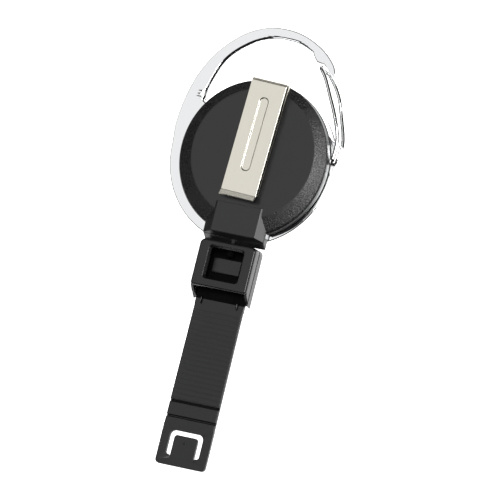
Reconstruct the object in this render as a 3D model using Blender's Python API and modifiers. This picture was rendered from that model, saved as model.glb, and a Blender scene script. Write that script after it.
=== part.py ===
"""Retractable badge reel with a carabiner frame, a belt clip and a self-closing strap.

The frame is in metres. The reel lies on its front face: Z = 0 is the face of the label disc, +Z points out
of the back, where the belt clip is, and the Z axis is the reel's own axis. +Y points to the top of the
carabiner arch, and the cord leaves the case towards -Y, into the catch that carries the strap.
"""

import math

import bmesh
import bpy
from mathutils import Matrix, Vector

# ---------------------------------------------------------------- driving dimensions, metres
GAP = 0.0003                  # clearance between neighbouring solids
SEGMENTS = 60                 # facets round a large circle
TINY = 0.000001               # points closer than this are one
OVERSHOOT = 0.001             # how far a cutting tool reaches past the surface it opens

# case: two moulded shells with the metal frame held between their rims
CASE_RADIUS = 0.0180
RIM_OVERHANG = 0.0008         # the case's rims reach this far over the frame's ring
WALL = 0.0012
LABEL_MARGIN = 0.0040         # from the case's outside to the label disc
LABEL_THICKNESS = 0.0009
LABEL_STEP = 0.0003           # the label disc stands this far proud of the front shell
FRONT_FLOOR = 0.0008          # thickness under the label
FLANGE_TOP = 0.0026           # rear side of the front shell's rim
FRONT_EDGE = 0.0005           # rounding of the front rim
LABEL_EDGE = 0.0002
FRAME_THICKNESS = 0.0028
RIM_HEIGHT = 0.0020           # upright wall of the rear shell
RIM_EDGE = 0.00025
BACK_RISE = 0.0008            # flat back above the rim
BACK_MARGIN = 0.00307         # width of the bevel round the flat back
BACK_OFFSET = 0.00105         # the flat back is set this far towards the arch
BACK_PLATE = 0.0010

# outlet nose, moulded on the rear shell, over the frame's ring
NOSE_RISE = 0.00015           # top of the nose above the flat back
NOSE_INSET = 0.0070           # the nose starts this far inside the case's edge
NOSE_REACH = 0.0001           # its top ends this far outside the case's edge
NOSE_LEAN = 0.0017            # the end face leans this far out towards its foot
NOSE_HALF_TOP = 0.00545
NOSE_HALF_FOOT = 0.0076
CORD_HEIGHT = 0.0012          # cord above the rear shell's lower edge
CORD_RADIUS = 0.0003
OUTLET_RADIUS = 0.00065
OUTLET_INNER = 0.0020         # the outlet starts this far inside the case's edge
POCKET_X = (-0.0015, 0.0048)  # room inside the nose for the cord on its way out
POCKET_INNER = 0.0055
POCKET_OUTER = 0.0009

# carabiner frame: its plan is drawn for an 18 mm case and grows with it
DRAWN_RADIUS = 0.0180
RING_CENTRE_DRAWN = (-0.0012, 0.00045)
RING_OUTER_DRAWN = 0.0202
BEZEL_DRAWN = 0.01815         # the ring where it borders the opening
BEZEL_ANGLES = (29, 145)
PIVOT_DRAWN = (0.0186, 0.0030)
CROSSBAR_DRAWN = (0.0101, 0.0237)
ARM_THICKNESS = 0.0014        # the arm where the wire straddles it
FRAME_EDGE = 0.0002
RELIEF_INNER = 0.0015
RELIEF_BELOW = 0.0017
RELIEF_ABOVE = 0.0060
SEAT_PLAY = 0.00005

# wire gate
WIRE_RADIUS = 0.000525
WIRE_CORNER = 0.0007
PIN_PLAY = 0.0001
SPREAD_END = 0.0130           # the legs part until this height on the plan

# belt clip, turned a little on its rivet
CLIP_TURN = math.radians(-2.6)
CLIP_HALF_WIDTH = 0.00445
CLIP_THICKNESS = 0.0004
CLIP_INSET = 0.0009           # the bend is this far inside the case's edge
CLIP_OPENING = 0.0011         # inside the bend
CLIP_ARM_LENGTH = 0.0257
CLIP_DROP = 0.0005            # the arm comes this much closer to the case at its crease
CLIP_BASE_LENGTH = 0.0255
LIP_LENGTH = 0.0012
LIP_RISE = 0.0006
CHANNEL_HALF_WIDTH = 0.00105  # channel pressed in the arm's outer face
CHANNEL_FROM_BEND = (0.00335, 0.0205)
CHANNEL_DEPTH = 0.0002
RIVET_RADIUS = 0.0010
RIVET_HEAD = 0.0020
RIVET_OUTER_HEAD = 0.00017

# spool and power spring
ARBOR_RADIUS = 0.0019
ARBOR_FLANGE = 0.0036
ARBOR_SLOT = 0.0009
SPOOL_MARGIN = 0.0014         # between the spool's flanges and the case's inside
SPOOL_BORE = 0.0023
STACK_PLAY = 0.0004           # between the spool's cover and the case's back
WEB = 0.0005
WINDING_DEPTH = 0.0034
WINDING_MARGIN = 0.0013       # the full winding stays this far inside the flanges
SKIRT_MARGIN = 0.0003
SKIRT_WALL = 0.0007
COVER_BORE = 0.0030
COVER_THICKNESS = 0.0004
SPRING_STRIP = 0.00016
SPRING_TURNS = 7
SPRING_START = 0.0006         # first turn clear of the arbor
SPRING_TAIL = 0.0005

# catch: a tray and a cover with a window, at the end of the cord
CATCH_LENGTH = 0.0109
CATCH_HALF_WIDTH = 0.0070
CATCH_ABOVE = 0.00246         # above and below the cord
CATCH_BELOW = 0.00235
CATCH_FLOOR = 0.0004
CATCH_LID = 0.0008
CATCH_WALL = 0.00062
CATCH_EDGE = 0.0003
CHEEK_LENGTH = 0.0136
CHEEK_TOP_LENGTH = 0.0122
WINDOW_HALF_WIDTH = 0.0039
WINDOW_FROM = (0.0016, 0.0086)
WINDOW_BEVEL = 0.00055
WINDOW_CORNER = 0.0006
FERRULE_RADIUS = 0.0009
FERRULE_LENGTH = 0.0014
FERRULE_EDGE = 0.0002

# strap, with distances measured from the start of the catch
STRAP_BELOW_CORD = 0.00085
STRAP_THICKNESS = 0.0008
STRAP_PLAY = 0.00033          # between the strap's side and the catch's wall
STRAP_TAPER = 0.0061          # half width gained for each metre of length
ROOT_FROM = 0.0032
HINGES_FROM = (0.0164, 0.0216, 0.0268, 0.0320, 0.0373, 0.04085)
STRAP_LENGTH = 0.0519
STRAP_CORNER = 0.0010
RIB_PITCH = 0.00115
RIB_WIDTH = 0.0006
RIB_DEPTH = 0.0001
PLATEAU_HALF_WIDTH = 0.00365
PLATEAU_FROM = (0.0035, 0.0069)
PLATEAU_BELOW_CORD = 0.0002
HOOK_X = 0.00445
HOOK_HALF = 0.0003
HOOK_FROM = (0.0125, 0.0145)
SLOT_HALF_OUTER = 0.00412
SLOT_HALF_INNER = 0.00296
SLOT_FROM = (0.0438, 0.0494)
SLOT_CORNER = 0.0015
TONGUE_FROM = 0.0448
TONGUE_CORNER = 0.0006
CREASE_FROM = 0.0501

# ---------------------------------------------------------------- places worked out from the sizes
BODY_RADIUS = CASE_RADIUS - RIM_OVERHANG
INNER_RADIUS = BODY_RADIUS - WALL
LABEL_RADIUS = CASE_RADIUS - LABEL_MARGIN
BACK_RADIUS = CASE_RADIUS - BACK_MARGIN
FRONT_Z = LABEL_STEP
RECESS_Z = LABEL_THICKNESS + GAP
FLOOR_Z = RECESS_Z + FRONT_FLOOR
FRAME_BOTTOM = FLANGE_TOP + GAP
FRAME_TOP = FRAME_BOTTOM + FRAME_THICKNESS
LID_BOTTOM = FRAME_TOP + GAP
RIM_Z = LID_BOTTOM + RIM_HEIGHT
BACK_Z = RIM_Z + BACK_RISE
PLATE_Z = BACK_Z - BACK_PLATE
NOSE_TOP = BACK_Z + NOSE_RISE
NOSE_START = NOSE_INSET - CASE_RADIUS
NOSE_END = -CASE_RADIUS - NOSE_REACH
NOSE_FOOT = NOSE_END - NOSE_LEAN
CORD_Z = LID_BOTTOM + CORD_HEIGHT
RING_INNER = BODY_RADIUS + GAP
ARBOR_BASE = FLOOR_Z + GAP
SPRING_FLOOR = ARBOR_BASE + WEB + GAP
SPOOL_ROOM = PLATE_Z - STACK_PLAY - COVER_THICKNESS - WEB - SPRING_FLOOR
SPRING_ROOM = SPOOL_ROOM / 2.0
CORD_ROOM = SPOOL_ROOM / 2.0
WEB_Z = SPRING_FLOOR + SPRING_ROOM
GROOVE_Z = WEB_Z + WEB
HUB_TOP = GROOVE_Z + CORD_ROOM - GAP
COVER_Z = HUB_TOP + GAP
SPOOL_RADIUS = INNER_RADIUS - SPOOL_MARGIN
SKIRT_OUTER = SPOOL_RADIUS - SKIRT_MARGIN
WINDING_OUTER = SPOOL_RADIUS - WINDING_MARGIN
HUB_RADIUS = WINDING_OUTER - WINDING_DEPTH - GAP
RIVET_HEAD_Z = PLATE_Z - GAP - COVER_THICKNESS
BASE_Z = BACK_Z + GAP
CLIP_MID = CLIP_THICKNESS / 2.0
CLIP_BEND_Y = CASE_RADIUS - CLIP_INSET
BEND_Z = BASE_Z + CLIP_THICKNESS + CLIP_OPENING / 2.0
BEND_RADIUS = CLIP_OPENING / 2.0 + CLIP_MID
ARM_Z = BEND_Z + BEND_RADIUS
CATCH_START = NOSE_FOOT - GAP
CATCH_END = CATCH_START - CATCH_LENGTH
CATCH_TOP = CORD_Z + CATCH_ABOVE
CATCH_BOTTOM = CORD_Z - CATCH_BELOW
CATCH_INNER = CATCH_HALF_WIDTH - CATCH_WALL
STRAP_HALF_ROOT = CATCH_INNER - STRAP_PLAY
CHEEK_END = CATCH_START - CHEEK_LENGTH
CHEEK_TOP_END = CATCH_START - CHEEK_TOP_LENGTH
WINDOW = tuple(CATCH_START - step for step in WINDOW_FROM)
FERRULE_START = CATCH_START - CATCH_WALL - GAP * 3.0
STRAP_TOP = CORD_Z - STRAP_BELOW_CORD
STRAP_BOTTOM = STRAP_TOP - STRAP_THICKNESS
STRAP_MID = STRAP_TOP - STRAP_THICKNESS / 2.0
HINGES = tuple(CATCH_START - step for step in HINGES_FROM)
ROOT_START = CATCH_START - ROOT_FROM
STRAP_END = CATCH_START - STRAP_LENGTH
PLATEAU = tuple(CATCH_START - step for step in PLATEAU_FROM)
PLATEAU_TOP = CORD_Z - PLATEAU_BELOW_CORD
HOOK = tuple(CATCH_START - step for step in HOOK_FROM)
SLOT = tuple(CATCH_START - step for step in SLOT_FROM)
TONGUE_TOP = CATCH_START - TONGUE_FROM
CREASE = CATCH_START - CREASE_FROM
NEAR_Z = FRAME_TOP + GAP + WIRE_RADIUS
FAR_Z = FRAME_BOTTOM - GAP - WIRE_RADIUS
ARM_BOTTOM = FRAME_TOP - ARM_THICKNESS
FAR_PIVOT_Z = ARM_BOTTOM - GAP - WIRE_RADIUS


def drawn(*points):
    """Points of the frame's plan, at the size of this case."""
    scale = CASE_RADIUS / DRAWN_RADIUS
    return [(x * scale, y * scale) for x, y in points]


PIVOT = drawn(PIVOT_DRAWN)[0]
CROSSBAR = drawn(CROSSBAR_DRAWN)[0]


# ---------------------------------------------------------------- scene, materials and helpers
def clear_scene():
    """Remove every object of the open scene."""
    for item in list(bpy.data.objects):
        bpy.data.objects.remove(item, do_unlink=True)


def new_collection(name):
    """A fresh collection under the scene."""
    group = bpy.data.collections.new(name)
    bpy.context.scene.collection.children.link(group)
    return group


clear_scene()
PARTS = new_collection("badge_reel")
CUTTERS = new_collection("cutters")


def material(name, colour, roughness, metallic=0.0):
    """A plain Principled material."""
    item = bpy.data.materials.new(name)
    item.use_nodes = True
    shader = item.node_tree.nodes["Principled BSDF"]
    shader.inputs["Base Color"].default_value = (*colour, 1.0)
    shader.inputs["Roughness"].default_value = roughness
    shader.inputs["Metallic"].default_value = metallic
    return item


BLACK_ABS = material("black_abs", (0.045, 0.045, 0.048), 0.45)
BLACK_STRAP = material("black_strap_plastic", (0.035, 0.035, 0.037), 0.40)
CHROME = material("chromed_zinc", (0.78, 0.78, 0.80), 0.12, 1.0)
WIRE_STEEL = material("chromed_wire", (0.72, 0.72, 0.74), 0.15, 1.0)
NICKEL = material("nickel_strip", (0.72, 0.69, 0.65), 0.35, 1.0)
SPRING_STEEL = material("spring_steel", (0.35, 0.37, 0.42), 0.35, 1.0)
WHITE_ACETAL = material("white_acetal", (0.80, 0.80, 0.78), 0.45)
BLACK_CORD = material("black_cord", (0.03, 0.03, 0.03), 0.80)
LABEL = material("label_disc", (0.05, 0.05, 0.055), 0.20)


def finish(item, skin, smooth=True):
    """Give a part its material and shading, and put it in the object's collection."""
    item.data.materials.clear()
    item.data.materials.append(skin)
    if smooth:
        item.data.shade_smooth()
        item.data.set_sharp_from_angle(angle=math.radians(35))
    for group in list(item.users_collection):
        group.objects.unlink(item)
    PARTS.objects.link(item)
    return item


def hide_as_cutter(item):
    """Keep a tool body in the file without showing or building it."""
    for group in list(item.users_collection):
        group.objects.unlink(item)
    CUTTERS.objects.link(item)
    item.hide_render = True
    item.display_type = 'WIRE'
    return item


def boolean(target, tool, operation):
    """Cut a part by a tool body, or join the tool body to it."""
    hide_as_cutter(tool)
    tool.parent = target
    modifier = target.modifiers.new(operation.lower() + "_" + tool.name, 'BOOLEAN')
    modifier.operation = operation
    modifier.object = tool
    modifier.solver = 'EXACT'
    return target


def cut(target, tool):
    """Subtract a tool body."""
    return boolean(target, tool, 'DIFFERENCE')


def join(target, tool):
    """Add a tool body."""
    return boolean(target, tool, 'UNION')


def round_edges(item, width, segments=2, angle=40.0):
    """Round the sharp edges of a part."""
    modifier = item.modifiers.new("rounded_edges", 'BEVEL')
    modifier.width = width
    modifier.segments = segments
    modifier.limit_method = 'ANGLE'
    modifier.angle_limit = math.radians(angle)
    return item


def mesh_from_curve(curve_object):
    """Turn a filled curve into a closed mesh object with welded caps, and drop the curve."""
    graph = bpy.context.evaluated_depsgraph_get()
    mesh = bpy.data.meshes.new_from_object(curve_object.evaluated_get(graph))
    shape = bmesh.new()
    shape.from_mesh(mesh)
    bmesh.ops.remove_doubles(shape, verts=shape.verts, dist=TINY)
    bmesh.ops.recalc_face_normals(shape, faces=shape.faces)
    shape.to_mesh(mesh)
    shape.free()
    name = curve_object.name
    place = curve_object.matrix_world.copy()
    bpy.data.objects.remove(curve_object, do_unlink=True)
    item = bpy.data.objects.new(name, mesh)
    item.matrix_world = place
    bpy.context.scene.collection.objects.link(item)
    return item


SIDE_VIEW = Matrix(((0, 0, 1, 0), (1, 0, 0, 0), (0, 1, 0, 0), (0, 0, 0, 1)))
END_VIEW = Matrix(((1, 0, 0, 0), (0, 0, -1, 0), (0, 1, 0, 0), (0, 0, 0, 1)))


def plate(name, loops, low, high):
    """A flat outline, with holes if there are several loops, extruded along Z from low to high."""
    curve = bpy.data.curves.new(name, 'CURVE')
    curve.dimensions = '2D'
    curve.fill_mode = 'BOTH'
    curve.extrude = (high - low) / 2.0
    for loop in loops:
        spline = curve.splines.new('POLY')
        spline.points.add(len(loop) - 1)
        for point, place in zip(spline.points, loop):
            point.co = (place[0], place[1], 0.0, 1.0)
        spline.use_cyclic_u = True
    item = bpy.data.objects.new(name, curve)
    bpy.context.scene.collection.objects.link(item)
    item.location = (0.0, 0.0, (low + high) / 2.0)
    bpy.context.view_layer.update()
    return apply_place(mesh_from_curve(item))


def profile(name, outline, half_width, centre=0.0):
    """An outline in the YZ plane, extruded along X about a centre."""
    item = plate(name, [outline], centre - half_width, centre + half_width)
    item.data.transform(SIDE_VIEW)
    return item


def apply_place(item):
    """Write an object's placement into its mesh, so that its frame is the world's."""
    item.data.transform(item.matrix_world)
    item.matrix_world = Matrix.Identity(4)
    return item


def box(name, low, high):
    """A block between two corners."""
    mesh = bpy.data.meshes.new(name)
    shape = bmesh.new()
    bmesh.ops.create_cube(shape, size=1.0)
    size = Vector(high) - Vector(low)
    middle = (Vector(high) + Vector(low)) / 2.0
    place = Matrix.Translation(middle) @ Matrix.Diagonal((*size, 1.0))
    bmesh.ops.transform(shape, matrix=place, verts=shape.verts)
    shape.to_mesh(mesh)
    shape.free()
    item = bpy.data.objects.new(name, mesh)
    bpy.context.scene.collection.objects.link(item)
    return item


def rod(name, radius, start, end, facets=24):
    """A cylinder from one point to another."""
    start = Vector(start)
    end = Vector(end)
    mesh = bpy.data.meshes.new(name)
    shape = bmesh.new()
    bmesh.ops.create_cone(
        shape, cap_ends=True, segments=facets, radius1=radius, radius2=radius, depth=(end - start).length
    )
    turn = (end - start).to_track_quat('Z', 'Y').to_matrix().to_4x4()
    bmesh.ops.transform(shape, matrix=Matrix.Translation((start + end) / 2.0) @ turn, verts=shape.verts)
    shape.to_mesh(mesh)
    shape.free()
    item = bpy.data.objects.new(name, mesh)
    bpy.context.scene.collection.objects.link(item)
    return item


def turned(name, points, closed, steps=SEGMENTS):
    """A profile of (radius, height) points turned about Z. It runs down its outer side."""
    mesh = bpy.data.meshes.new(name)
    edges = [(i, i + 1) for i in range(len(points) - 1)]
    if closed:
        edges.append((len(points) - 1, 0))
    mesh.from_pydata([(r, 0.0, z) for r, z in points], edges, [])
    item = bpy.data.objects.new(name, mesh)
    bpy.context.scene.collection.objects.link(item)
    screw = item.modifiers.new("turned", 'SCREW')
    screw.steps = steps
    screw.render_steps = steps
    screw.use_merge_vertices = True
    screw.merge_threshold = TINY
    return item


def tube(name, points, radius, sides=2):
    """A round bar or cord through points, with filled ends."""
    curve = bpy.data.curves.new(name, 'CURVE')
    curve.dimensions = '3D'
    curve.bevel_depth = radius
    curve.bevel_resolution = sides
    curve.use_fill_caps = True
    spline = curve.splines.new('POLY')
    spline.points.add(len(points) - 1)
    for point, place in zip(spline.points, points):
        point.co = (*place, 1.0)
    item = bpy.data.objects.new(name, curve)
    bpy.context.scene.collection.objects.link(item)
    bpy.context.view_layer.update()
    return mesh_from_curve(item)


def lofted(name, rings, segments=SEGMENTS):
    """A solid through stacked circles of (radius, y offset, height), lowest first."""
    mesh = bpy.data.meshes.new(name)
    shape = bmesh.new()
    loops = []
    for radius, offset, height in rings:
        loop = []
        for i in range(segments):
            angle = math.tau * i / segments
            x, y = radius * math.cos(angle), offset + radius * math.sin(angle)
            loop.append(shape.verts.new((x, y, height)))
        loops.append(loop)
    for lower, upper in zip(loops, loops[1:]):
        for i in range(segments):
            j = (i + 1) % segments
            shape.faces.new((lower[i], lower[j], upper[j], upper[i]))
    shape.faces.new(list(reversed(loops[0])))
    shape.faces.new(loops[-1])
    shape.to_mesh(mesh)
    shape.free()
    item = bpy.data.objects.new(name, mesh)
    bpy.context.scene.collection.objects.link(item)
    return item


def arc(centre, radius, start, end, count):
    """Points on a circle from one angle to another, in degrees."""
    angles = [math.radians(start + (end - start) * i / count) for i in range(count + 1)]
    return [(centre[0] + radius * math.cos(a), centre[1] + radius * math.sin(a)) for a in angles]


def smooth(points, count=3):
    """A Catmull-Rom curve through points of any dimension, with count pieces between neighbours."""
    knots = [Vector(p) for p in points]
    ends = [knots[0] * 2.0 - knots[1]] + knots + [knots[-1] * 2.0 - knots[-2]]
    path = []
    for before, start, end, after in zip(ends, ends[1:], ends[2:], ends[3:]):
        for i in range(count):
            t = i / count
            second = 2.0 * before - 5.0 * start + 4.0 * end - after
            third = 3.0 * start - before - 3.0 * end + after
            path.append(0.5 * (2.0 * start + (end - before) * t + second * t ** 2 + third * t ** 3))
    path.append(knots[-1])
    return [tuple(p) for p in path]


def ribbon(path, thickness):
    """The closed outline of a strip of even thickness along a flat path."""
    points = [Vector(p) for p in path]
    left, right = [], []
    for i, point in enumerate(points):
        before = (point - points[i - 1]).normalized() if i else None
        after = (points[i + 1] - point).normalized() if i + 1 < len(points) else None
        along = ((before or after) + (after or before)).normalized()
        widen = 1.0 / max(0.5, along.dot(after or before))
        side = Vector((-along.y, along.x)) * thickness / 2.0 * widen
        left.append(tuple(point + side))
        right.append(tuple(point - side))
    return left + right[::-1]


def rounded_box_outline(x0, x1, y0, y1, radius, count=5):
    """A rectangle with rounded corners."""
    left, right = x0 + radius, x1 - radius
    lower, upper = y0 + radius, y1 - radius
    return (
        arc((right, upper), radius, 0, 90, count) + arc((left, upper), radius, 90, 180, count)
        + arc((left, lower), radius, 180, 270, count) + arc((right, lower), radius, 270, 360, count)
    )


def pivot_empty(name, place, parent=None, turn=(0.0, 0.0, 0.0)):
    """An empty on a joint's axis. The pieces that move on the joint are its children."""
    empty = bpy.data.objects.new(name, None)
    empty.empty_display_size = 0.004
    PARTS.objects.link(empty)
    empty.parent = parent
    empty.location = place
    empty.rotation_euler = turn
    bpy.context.view_layer.update()
    return empty


def carry(empty, *items):
    """Let an empty carry parts that were modelled in the world's frame, without moving them."""
    for item in items:
        item.parent = empty
        item.matrix_parent_inverse = empty.matrix_world.inverted()


# ---------------------------------------------------------------- the case
def front_cover():
    """Front shell: a dish with an outer rim, a body inside the frame's ring and a recess for the label."""
    edge = FRONT_EDGE
    corner = edge * 0.3
    points = [
        (0.0, FLOOR_Z), (INNER_RADIUS, FLOOR_Z), (INNER_RADIUS, FRAME_TOP), (BODY_RADIUS, FRAME_TOP),
        (BODY_RADIUS, FLANGE_TOP), (CASE_RADIUS, FLANGE_TOP), (CASE_RADIUS, FRONT_Z + edge),
        (CASE_RADIUS - corner, FRONT_Z + corner), (CASE_RADIUS - edge, FRONT_Z),
        (LABEL_RADIUS + GAP, FRONT_Z), (LABEL_RADIUS + GAP, RECESS_Z), (0.0, RECESS_Z),
    ]
    return finish(turned("front_cover", points, False), BLACK_ABS)


def front_insert():
    """Blank label disc, seated in the front shell's recess and standing a little proud of it."""
    points = [
        (0.0, LABEL_THICKNESS), (LABEL_RADIUS, LABEL_THICKNESS), (LABEL_RADIUS, LABEL_EDGE),
        (LABEL_RADIUS - LABEL_EDGE, 0.0), (0.0, 0.0),
    ]
    return finish(turned("front_insert", points, False), LABEL)


def nose_body():
    """The outlet nose: sloping sides, upright below the rim, and a leaning end face."""
    section = [
        (-NOSE_HALF_TOP, NOSE_TOP), (-NOSE_HALF_FOOT, RIM_Z), (-NOSE_HALF_FOOT, LID_BOTTOM),
        (NOSE_HALF_FOOT, LID_BOTTOM), (NOSE_HALF_FOOT, RIM_Z), (NOSE_HALF_TOP, NOSE_TOP),
    ]
    block = plate("nose_body", [section], -NOSE_START, -NOSE_FOOT)
    block.data.transform(END_VIEW)
    lean = [
        (NOSE_END, NOSE_TOP), (NOSE_FOOT, LID_BOTTOM), (NOSE_FOOT - OVERSHOOT, LID_BOTTOM - OVERSHOOT),
        (NOSE_FOOT - OVERSHOOT, NOSE_TOP + OVERSHOOT), (NOSE_END, NOSE_TOP + OVERSHOOT),
    ]
    cut(block, profile("nose_end_cut", lean, CASE_RADIUS))
    return block


def rear_cover():
    """Rear shell: side wall, wide bevel, flat back, outlet nose, and the holes for cord and rivet."""
    shell = lofted("rear_cover", [
        (CASE_RADIUS, 0.0, LID_BOTTOM), (CASE_RADIUS, 0.0, RIM_Z - RIM_EDGE),
        (CASE_RADIUS - RIM_EDGE, BACK_OFFSET * 0.1, RIM_Z), (BACK_RADIUS, BACK_OFFSET, BACK_Z),
    ])
    join(shell, nose_body())
    hollow = lofted("rear_hollow", [
        (INNER_RADIUS, 0.0, LID_BOTTOM - OVERSHOOT), (INNER_RADIUS, 0.0, RIM_Z - BACK_PLATE),
        (INNER_RADIUS - BACK_MARGIN * 0.5, BACK_OFFSET * 0.5, PLATE_Z),
    ])
    cut(shell, hollow)
    pocket_low = (POCKET_X[0], POCKET_OUTER - CASE_RADIUS, LID_BOTTOM - OVERSHOOT)
    pocket_high = (POCKET_X[1], POCKET_INNER - CASE_RADIUS, PLATE_Z - CORD_RADIUS / 3.0)
    cut(shell, box("cord_pocket", pocket_low, pocket_high))
    outlet_start = (0.0, OUTLET_INNER - CASE_RADIUS, CORD_Z)
    outlet_end = (0.0, NOSE_FOOT - OVERSHOOT, CORD_Z)
    cut(shell, rod("outlet_hole", OUTLET_RADIUS, outlet_start, outlet_end))
    rivet_low = (0.0, 0.0, PLATE_Z - OVERSHOOT)
    rivet_high = (0.0, 0.0, BACK_Z + OVERSHOOT)
    cut(shell, rod("rivet_hole", RIVET_RADIUS + GAP, rivet_low, rivet_high))
    return finish(shell, BLACK_ABS)


# ---------------------------------------------------------------- carabiner frame and gate
def frame_outline():
    """The cast frame: a ring round the case with an arch, open at the gate between nose and right arm."""
    outer_arch = smooth(drawn(
        (0.0140, 0.0225), (0.0127, 0.0250), (0.0094, 0.0279), (0.0045, 0.0302), (-0.0005, 0.0310),
        (-0.0055, 0.0304), (-0.0109, 0.0278), (-0.0160, 0.0228), (-0.0193, 0.0170), (-0.0210, 0.0112),
        (-0.0217, 0.0060), (-0.02165, 0.0030), (-0.0214, 0.00045),
    ))
    ring = drawn(*arc(RING_CENTRE_DRAWN, RING_OUTER_DRAWN, 180, 360, 30)[1:])
    px, py = PIVOT
    arm = smooth([
        ring[-1], (px + 0.0009, py - 0.0010), (px + 0.0013, py + 0.0006), (px + 0.0012, py + 0.0025),
        (px + 0.0005, py + 0.0039), (px - 0.0006, py + 0.0044), (px - 0.0016, py + 0.0048),
    ], 3)[1:]
    bezel = drawn(*arc((0.0, 0.0), BEZEL_DRAWN, *BEZEL_ANGLES, 20))
    inner_arch = smooth(drawn(
        (-0.0162, 0.0113), (-0.0165, 0.0124), (-0.0164, 0.0141), (-0.0154, 0.0175), (-0.0139, 0.0211),
        (-0.0113, 0.0242), (-0.0073, 0.0271), (-0.0032, 0.0286), (0.0005, 0.0288), (0.0035, 0.0283),
        (0.0070, 0.0267),
    ))
    cx, cy = CROSSBAR
    seat = WIRE_RADIUS + GAP + SEAT_PLAY
    nose = [(cx - 0.0025, cy + 0.0020), (cx - 0.0015, cy + 0.0010)] + arc((cx, cy), seat, 115, 50, 5)
    nose += [(cx + 0.0027, cy - 0.0013), (cx + 0.0034, cy - 0.0017), (cx + 0.0039, cy - 0.0017)]
    return outer_arch + ring + arm + bezel + inner_arch + nose


def carabiner_frame():
    """Cast zinc frame with the pivot hole for the wire gate and a relief under the thin arm."""
    case_hole = arc((0.0, 0.0), RING_INNER, 0, 354, SEGMENTS - 1)
    frame = plate("carabiner_frame", [frame_outline(), case_hole], FRAME_BOTTOM, FRAME_TOP)
    round_edges(frame, FRAME_EDGE, 1)
    px, py = PIVOT
    relief_low = (RING_INNER - RELIEF_INNER, py - RELIEF_BELOW, FRAME_BOTTOM - OVERSHOOT)
    relief_high = (px + RELIEF_ABOVE, py + RELIEF_ABOVE, ARM_BOTTOM)
    cut(frame, box("arm_relief", relief_low, relief_high))
    hole_low = (px, py, ARM_BOTTOM - OVERSHOOT)
    cut(frame, rod("pivot_hole", WIRE_RADIUS + GAP, hole_low, (px, py, FRAME_TOP + OVERSHOOT)))
    return finish(frame, CHROME)


def gate_leg(pivot_z, gate_z, pin_end):
    """One leg of the wire gate, from its pin in the frame to the corner of the crossbar."""
    px, py = PIVOT
    plan = drawn(
        (0.01868, 0.0054), (0.0186, 0.0077), (0.0179, 0.0101), (0.0169, 0.01245), (0.01575, 0.0148),
        (0.0144, 0.0172), (0.0131, 0.0196), (0.0119, 0.0216), (0.0109, 0.02285),
    )
    turn = WIRE_RADIUS * 0.75
    points = [(px, py, pin_end), (px, py, (pin_end + pivot_z) / 2.0), (px, py + turn, pivot_z)]
    for x, y in plan:
        share = min(1.0, max(0.0, (y - py) / (SPREAD_END - py)))
        points.append((x, y, pivot_z + (gate_z - pivot_z) * share))
    return points


def gate_wire():
    """Wire gate: two legs from the pivot hole, joined by a crossbar that seats inside the frame's nose."""
    cx, cy = CROSSBAR
    middle = (FRAME_TOP + ARM_BOTTOM) / 2.0
    pin = GAP / 2.0 + PIN_PLAY
    near = gate_leg(NEAR_Z, NEAR_Z, middle + pin)
    far = gate_leg(FAR_PIVOT_Z, FAR_Z, middle - pin)
    side = WIRE_CORNER * 0.35
    drop = WIRE_CORNER * 1.3
    crossbar = [
        (cx + side, cy - side, NEAR_Z - side), (cx, cy, NEAR_Z - drop),
        (cx, cy, FAR_Z + drop), (cx + side, cy - side, FAR_Z + side),
    ]
    wire = tube("gate_wire", smooth(near + crossbar + far[::-1], 2), WIRE_RADIUS, 2)
    return finish(wire, WIRE_STEEL)


# ---------------------------------------------------------------- belt clip
def clip_base():
    """Inner leaf of the spring clip, riveted to the back, with the bend at its top."""
    bend = arc((CLIP_BEND_Y, BEND_Z), BEND_RADIUS, -90, 90, 12)
    path = [(CLIP_BEND_Y - CLIP_BASE_LENGTH, BASE_Z + CLIP_MID)] + bend
    strip = profile("clip_base", ribbon(path, CLIP_THICKNESS), CLIP_HALF_WIDTH)
    hole_low = (0.0, 0.0, BASE_Z - OVERSHOOT)
    hole_high = (0.0, 0.0, BASE_Z + CLIP_THICKNESS + CLIP_MID)
    cut(strip, rod("clip_rivet_hole", RIVET_RADIUS + GAP, hole_low, hole_high))
    return finish(strip, NICKEL)


def clip_arm():
    """Outer leaf, in its bend's frame: Y = 0 is the bend, -Y runs down the arm, Z = 0 is its middle."""
    path = [(-GAP / 2.0, 0.0), (-CLIP_ARM_LENGTH, 0.0), (-CLIP_ARM_LENGTH - LIP_LENGTH, LIP_RISE)]
    strip = profile("clip_arm", ribbon(path, CLIP_THICKNESS), CLIP_HALF_WIDTH)
    radius = CHANNEL_HALF_WIDTH
    top, bottom = (-distance for distance in CHANNEL_FROM_BEND)
    upper = arc((0.0, top - radius), radius, 0, 180, 10)
    stadium = upper + arc((0.0, bottom + radius), radius, 180, 360, 10)
    cut(strip, plate("clip_channel", [stadium], CLIP_MID - CHANNEL_DEPTH, CLIP_MID + OVERSHOOT))
    return finish(strip, NICKEL)


def clip_rivet():
    """Rivet through the rear shell and the clip's inner leaf."""
    low = RIVET_HEAD_Z
    head_top = RIVET_HEAD_Z + COVER_THICKNESS
    outer = BASE_Z + CLIP_THICKNESS + GAP
    points = [
        (0.0, outer + RIVET_OUTER_HEAD), (RIVET_HEAD, outer + RIVET_OUTER_HEAD), (RIVET_HEAD, outer),
        (RIVET_RADIUS, outer), (RIVET_RADIUS, head_top), (RIVET_HEAD, head_top), (RIVET_HEAD, low),
        (0.0, low),
    ]
    return finish(turned("clip_rivet", points, False, 32), NICKEL)


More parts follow.
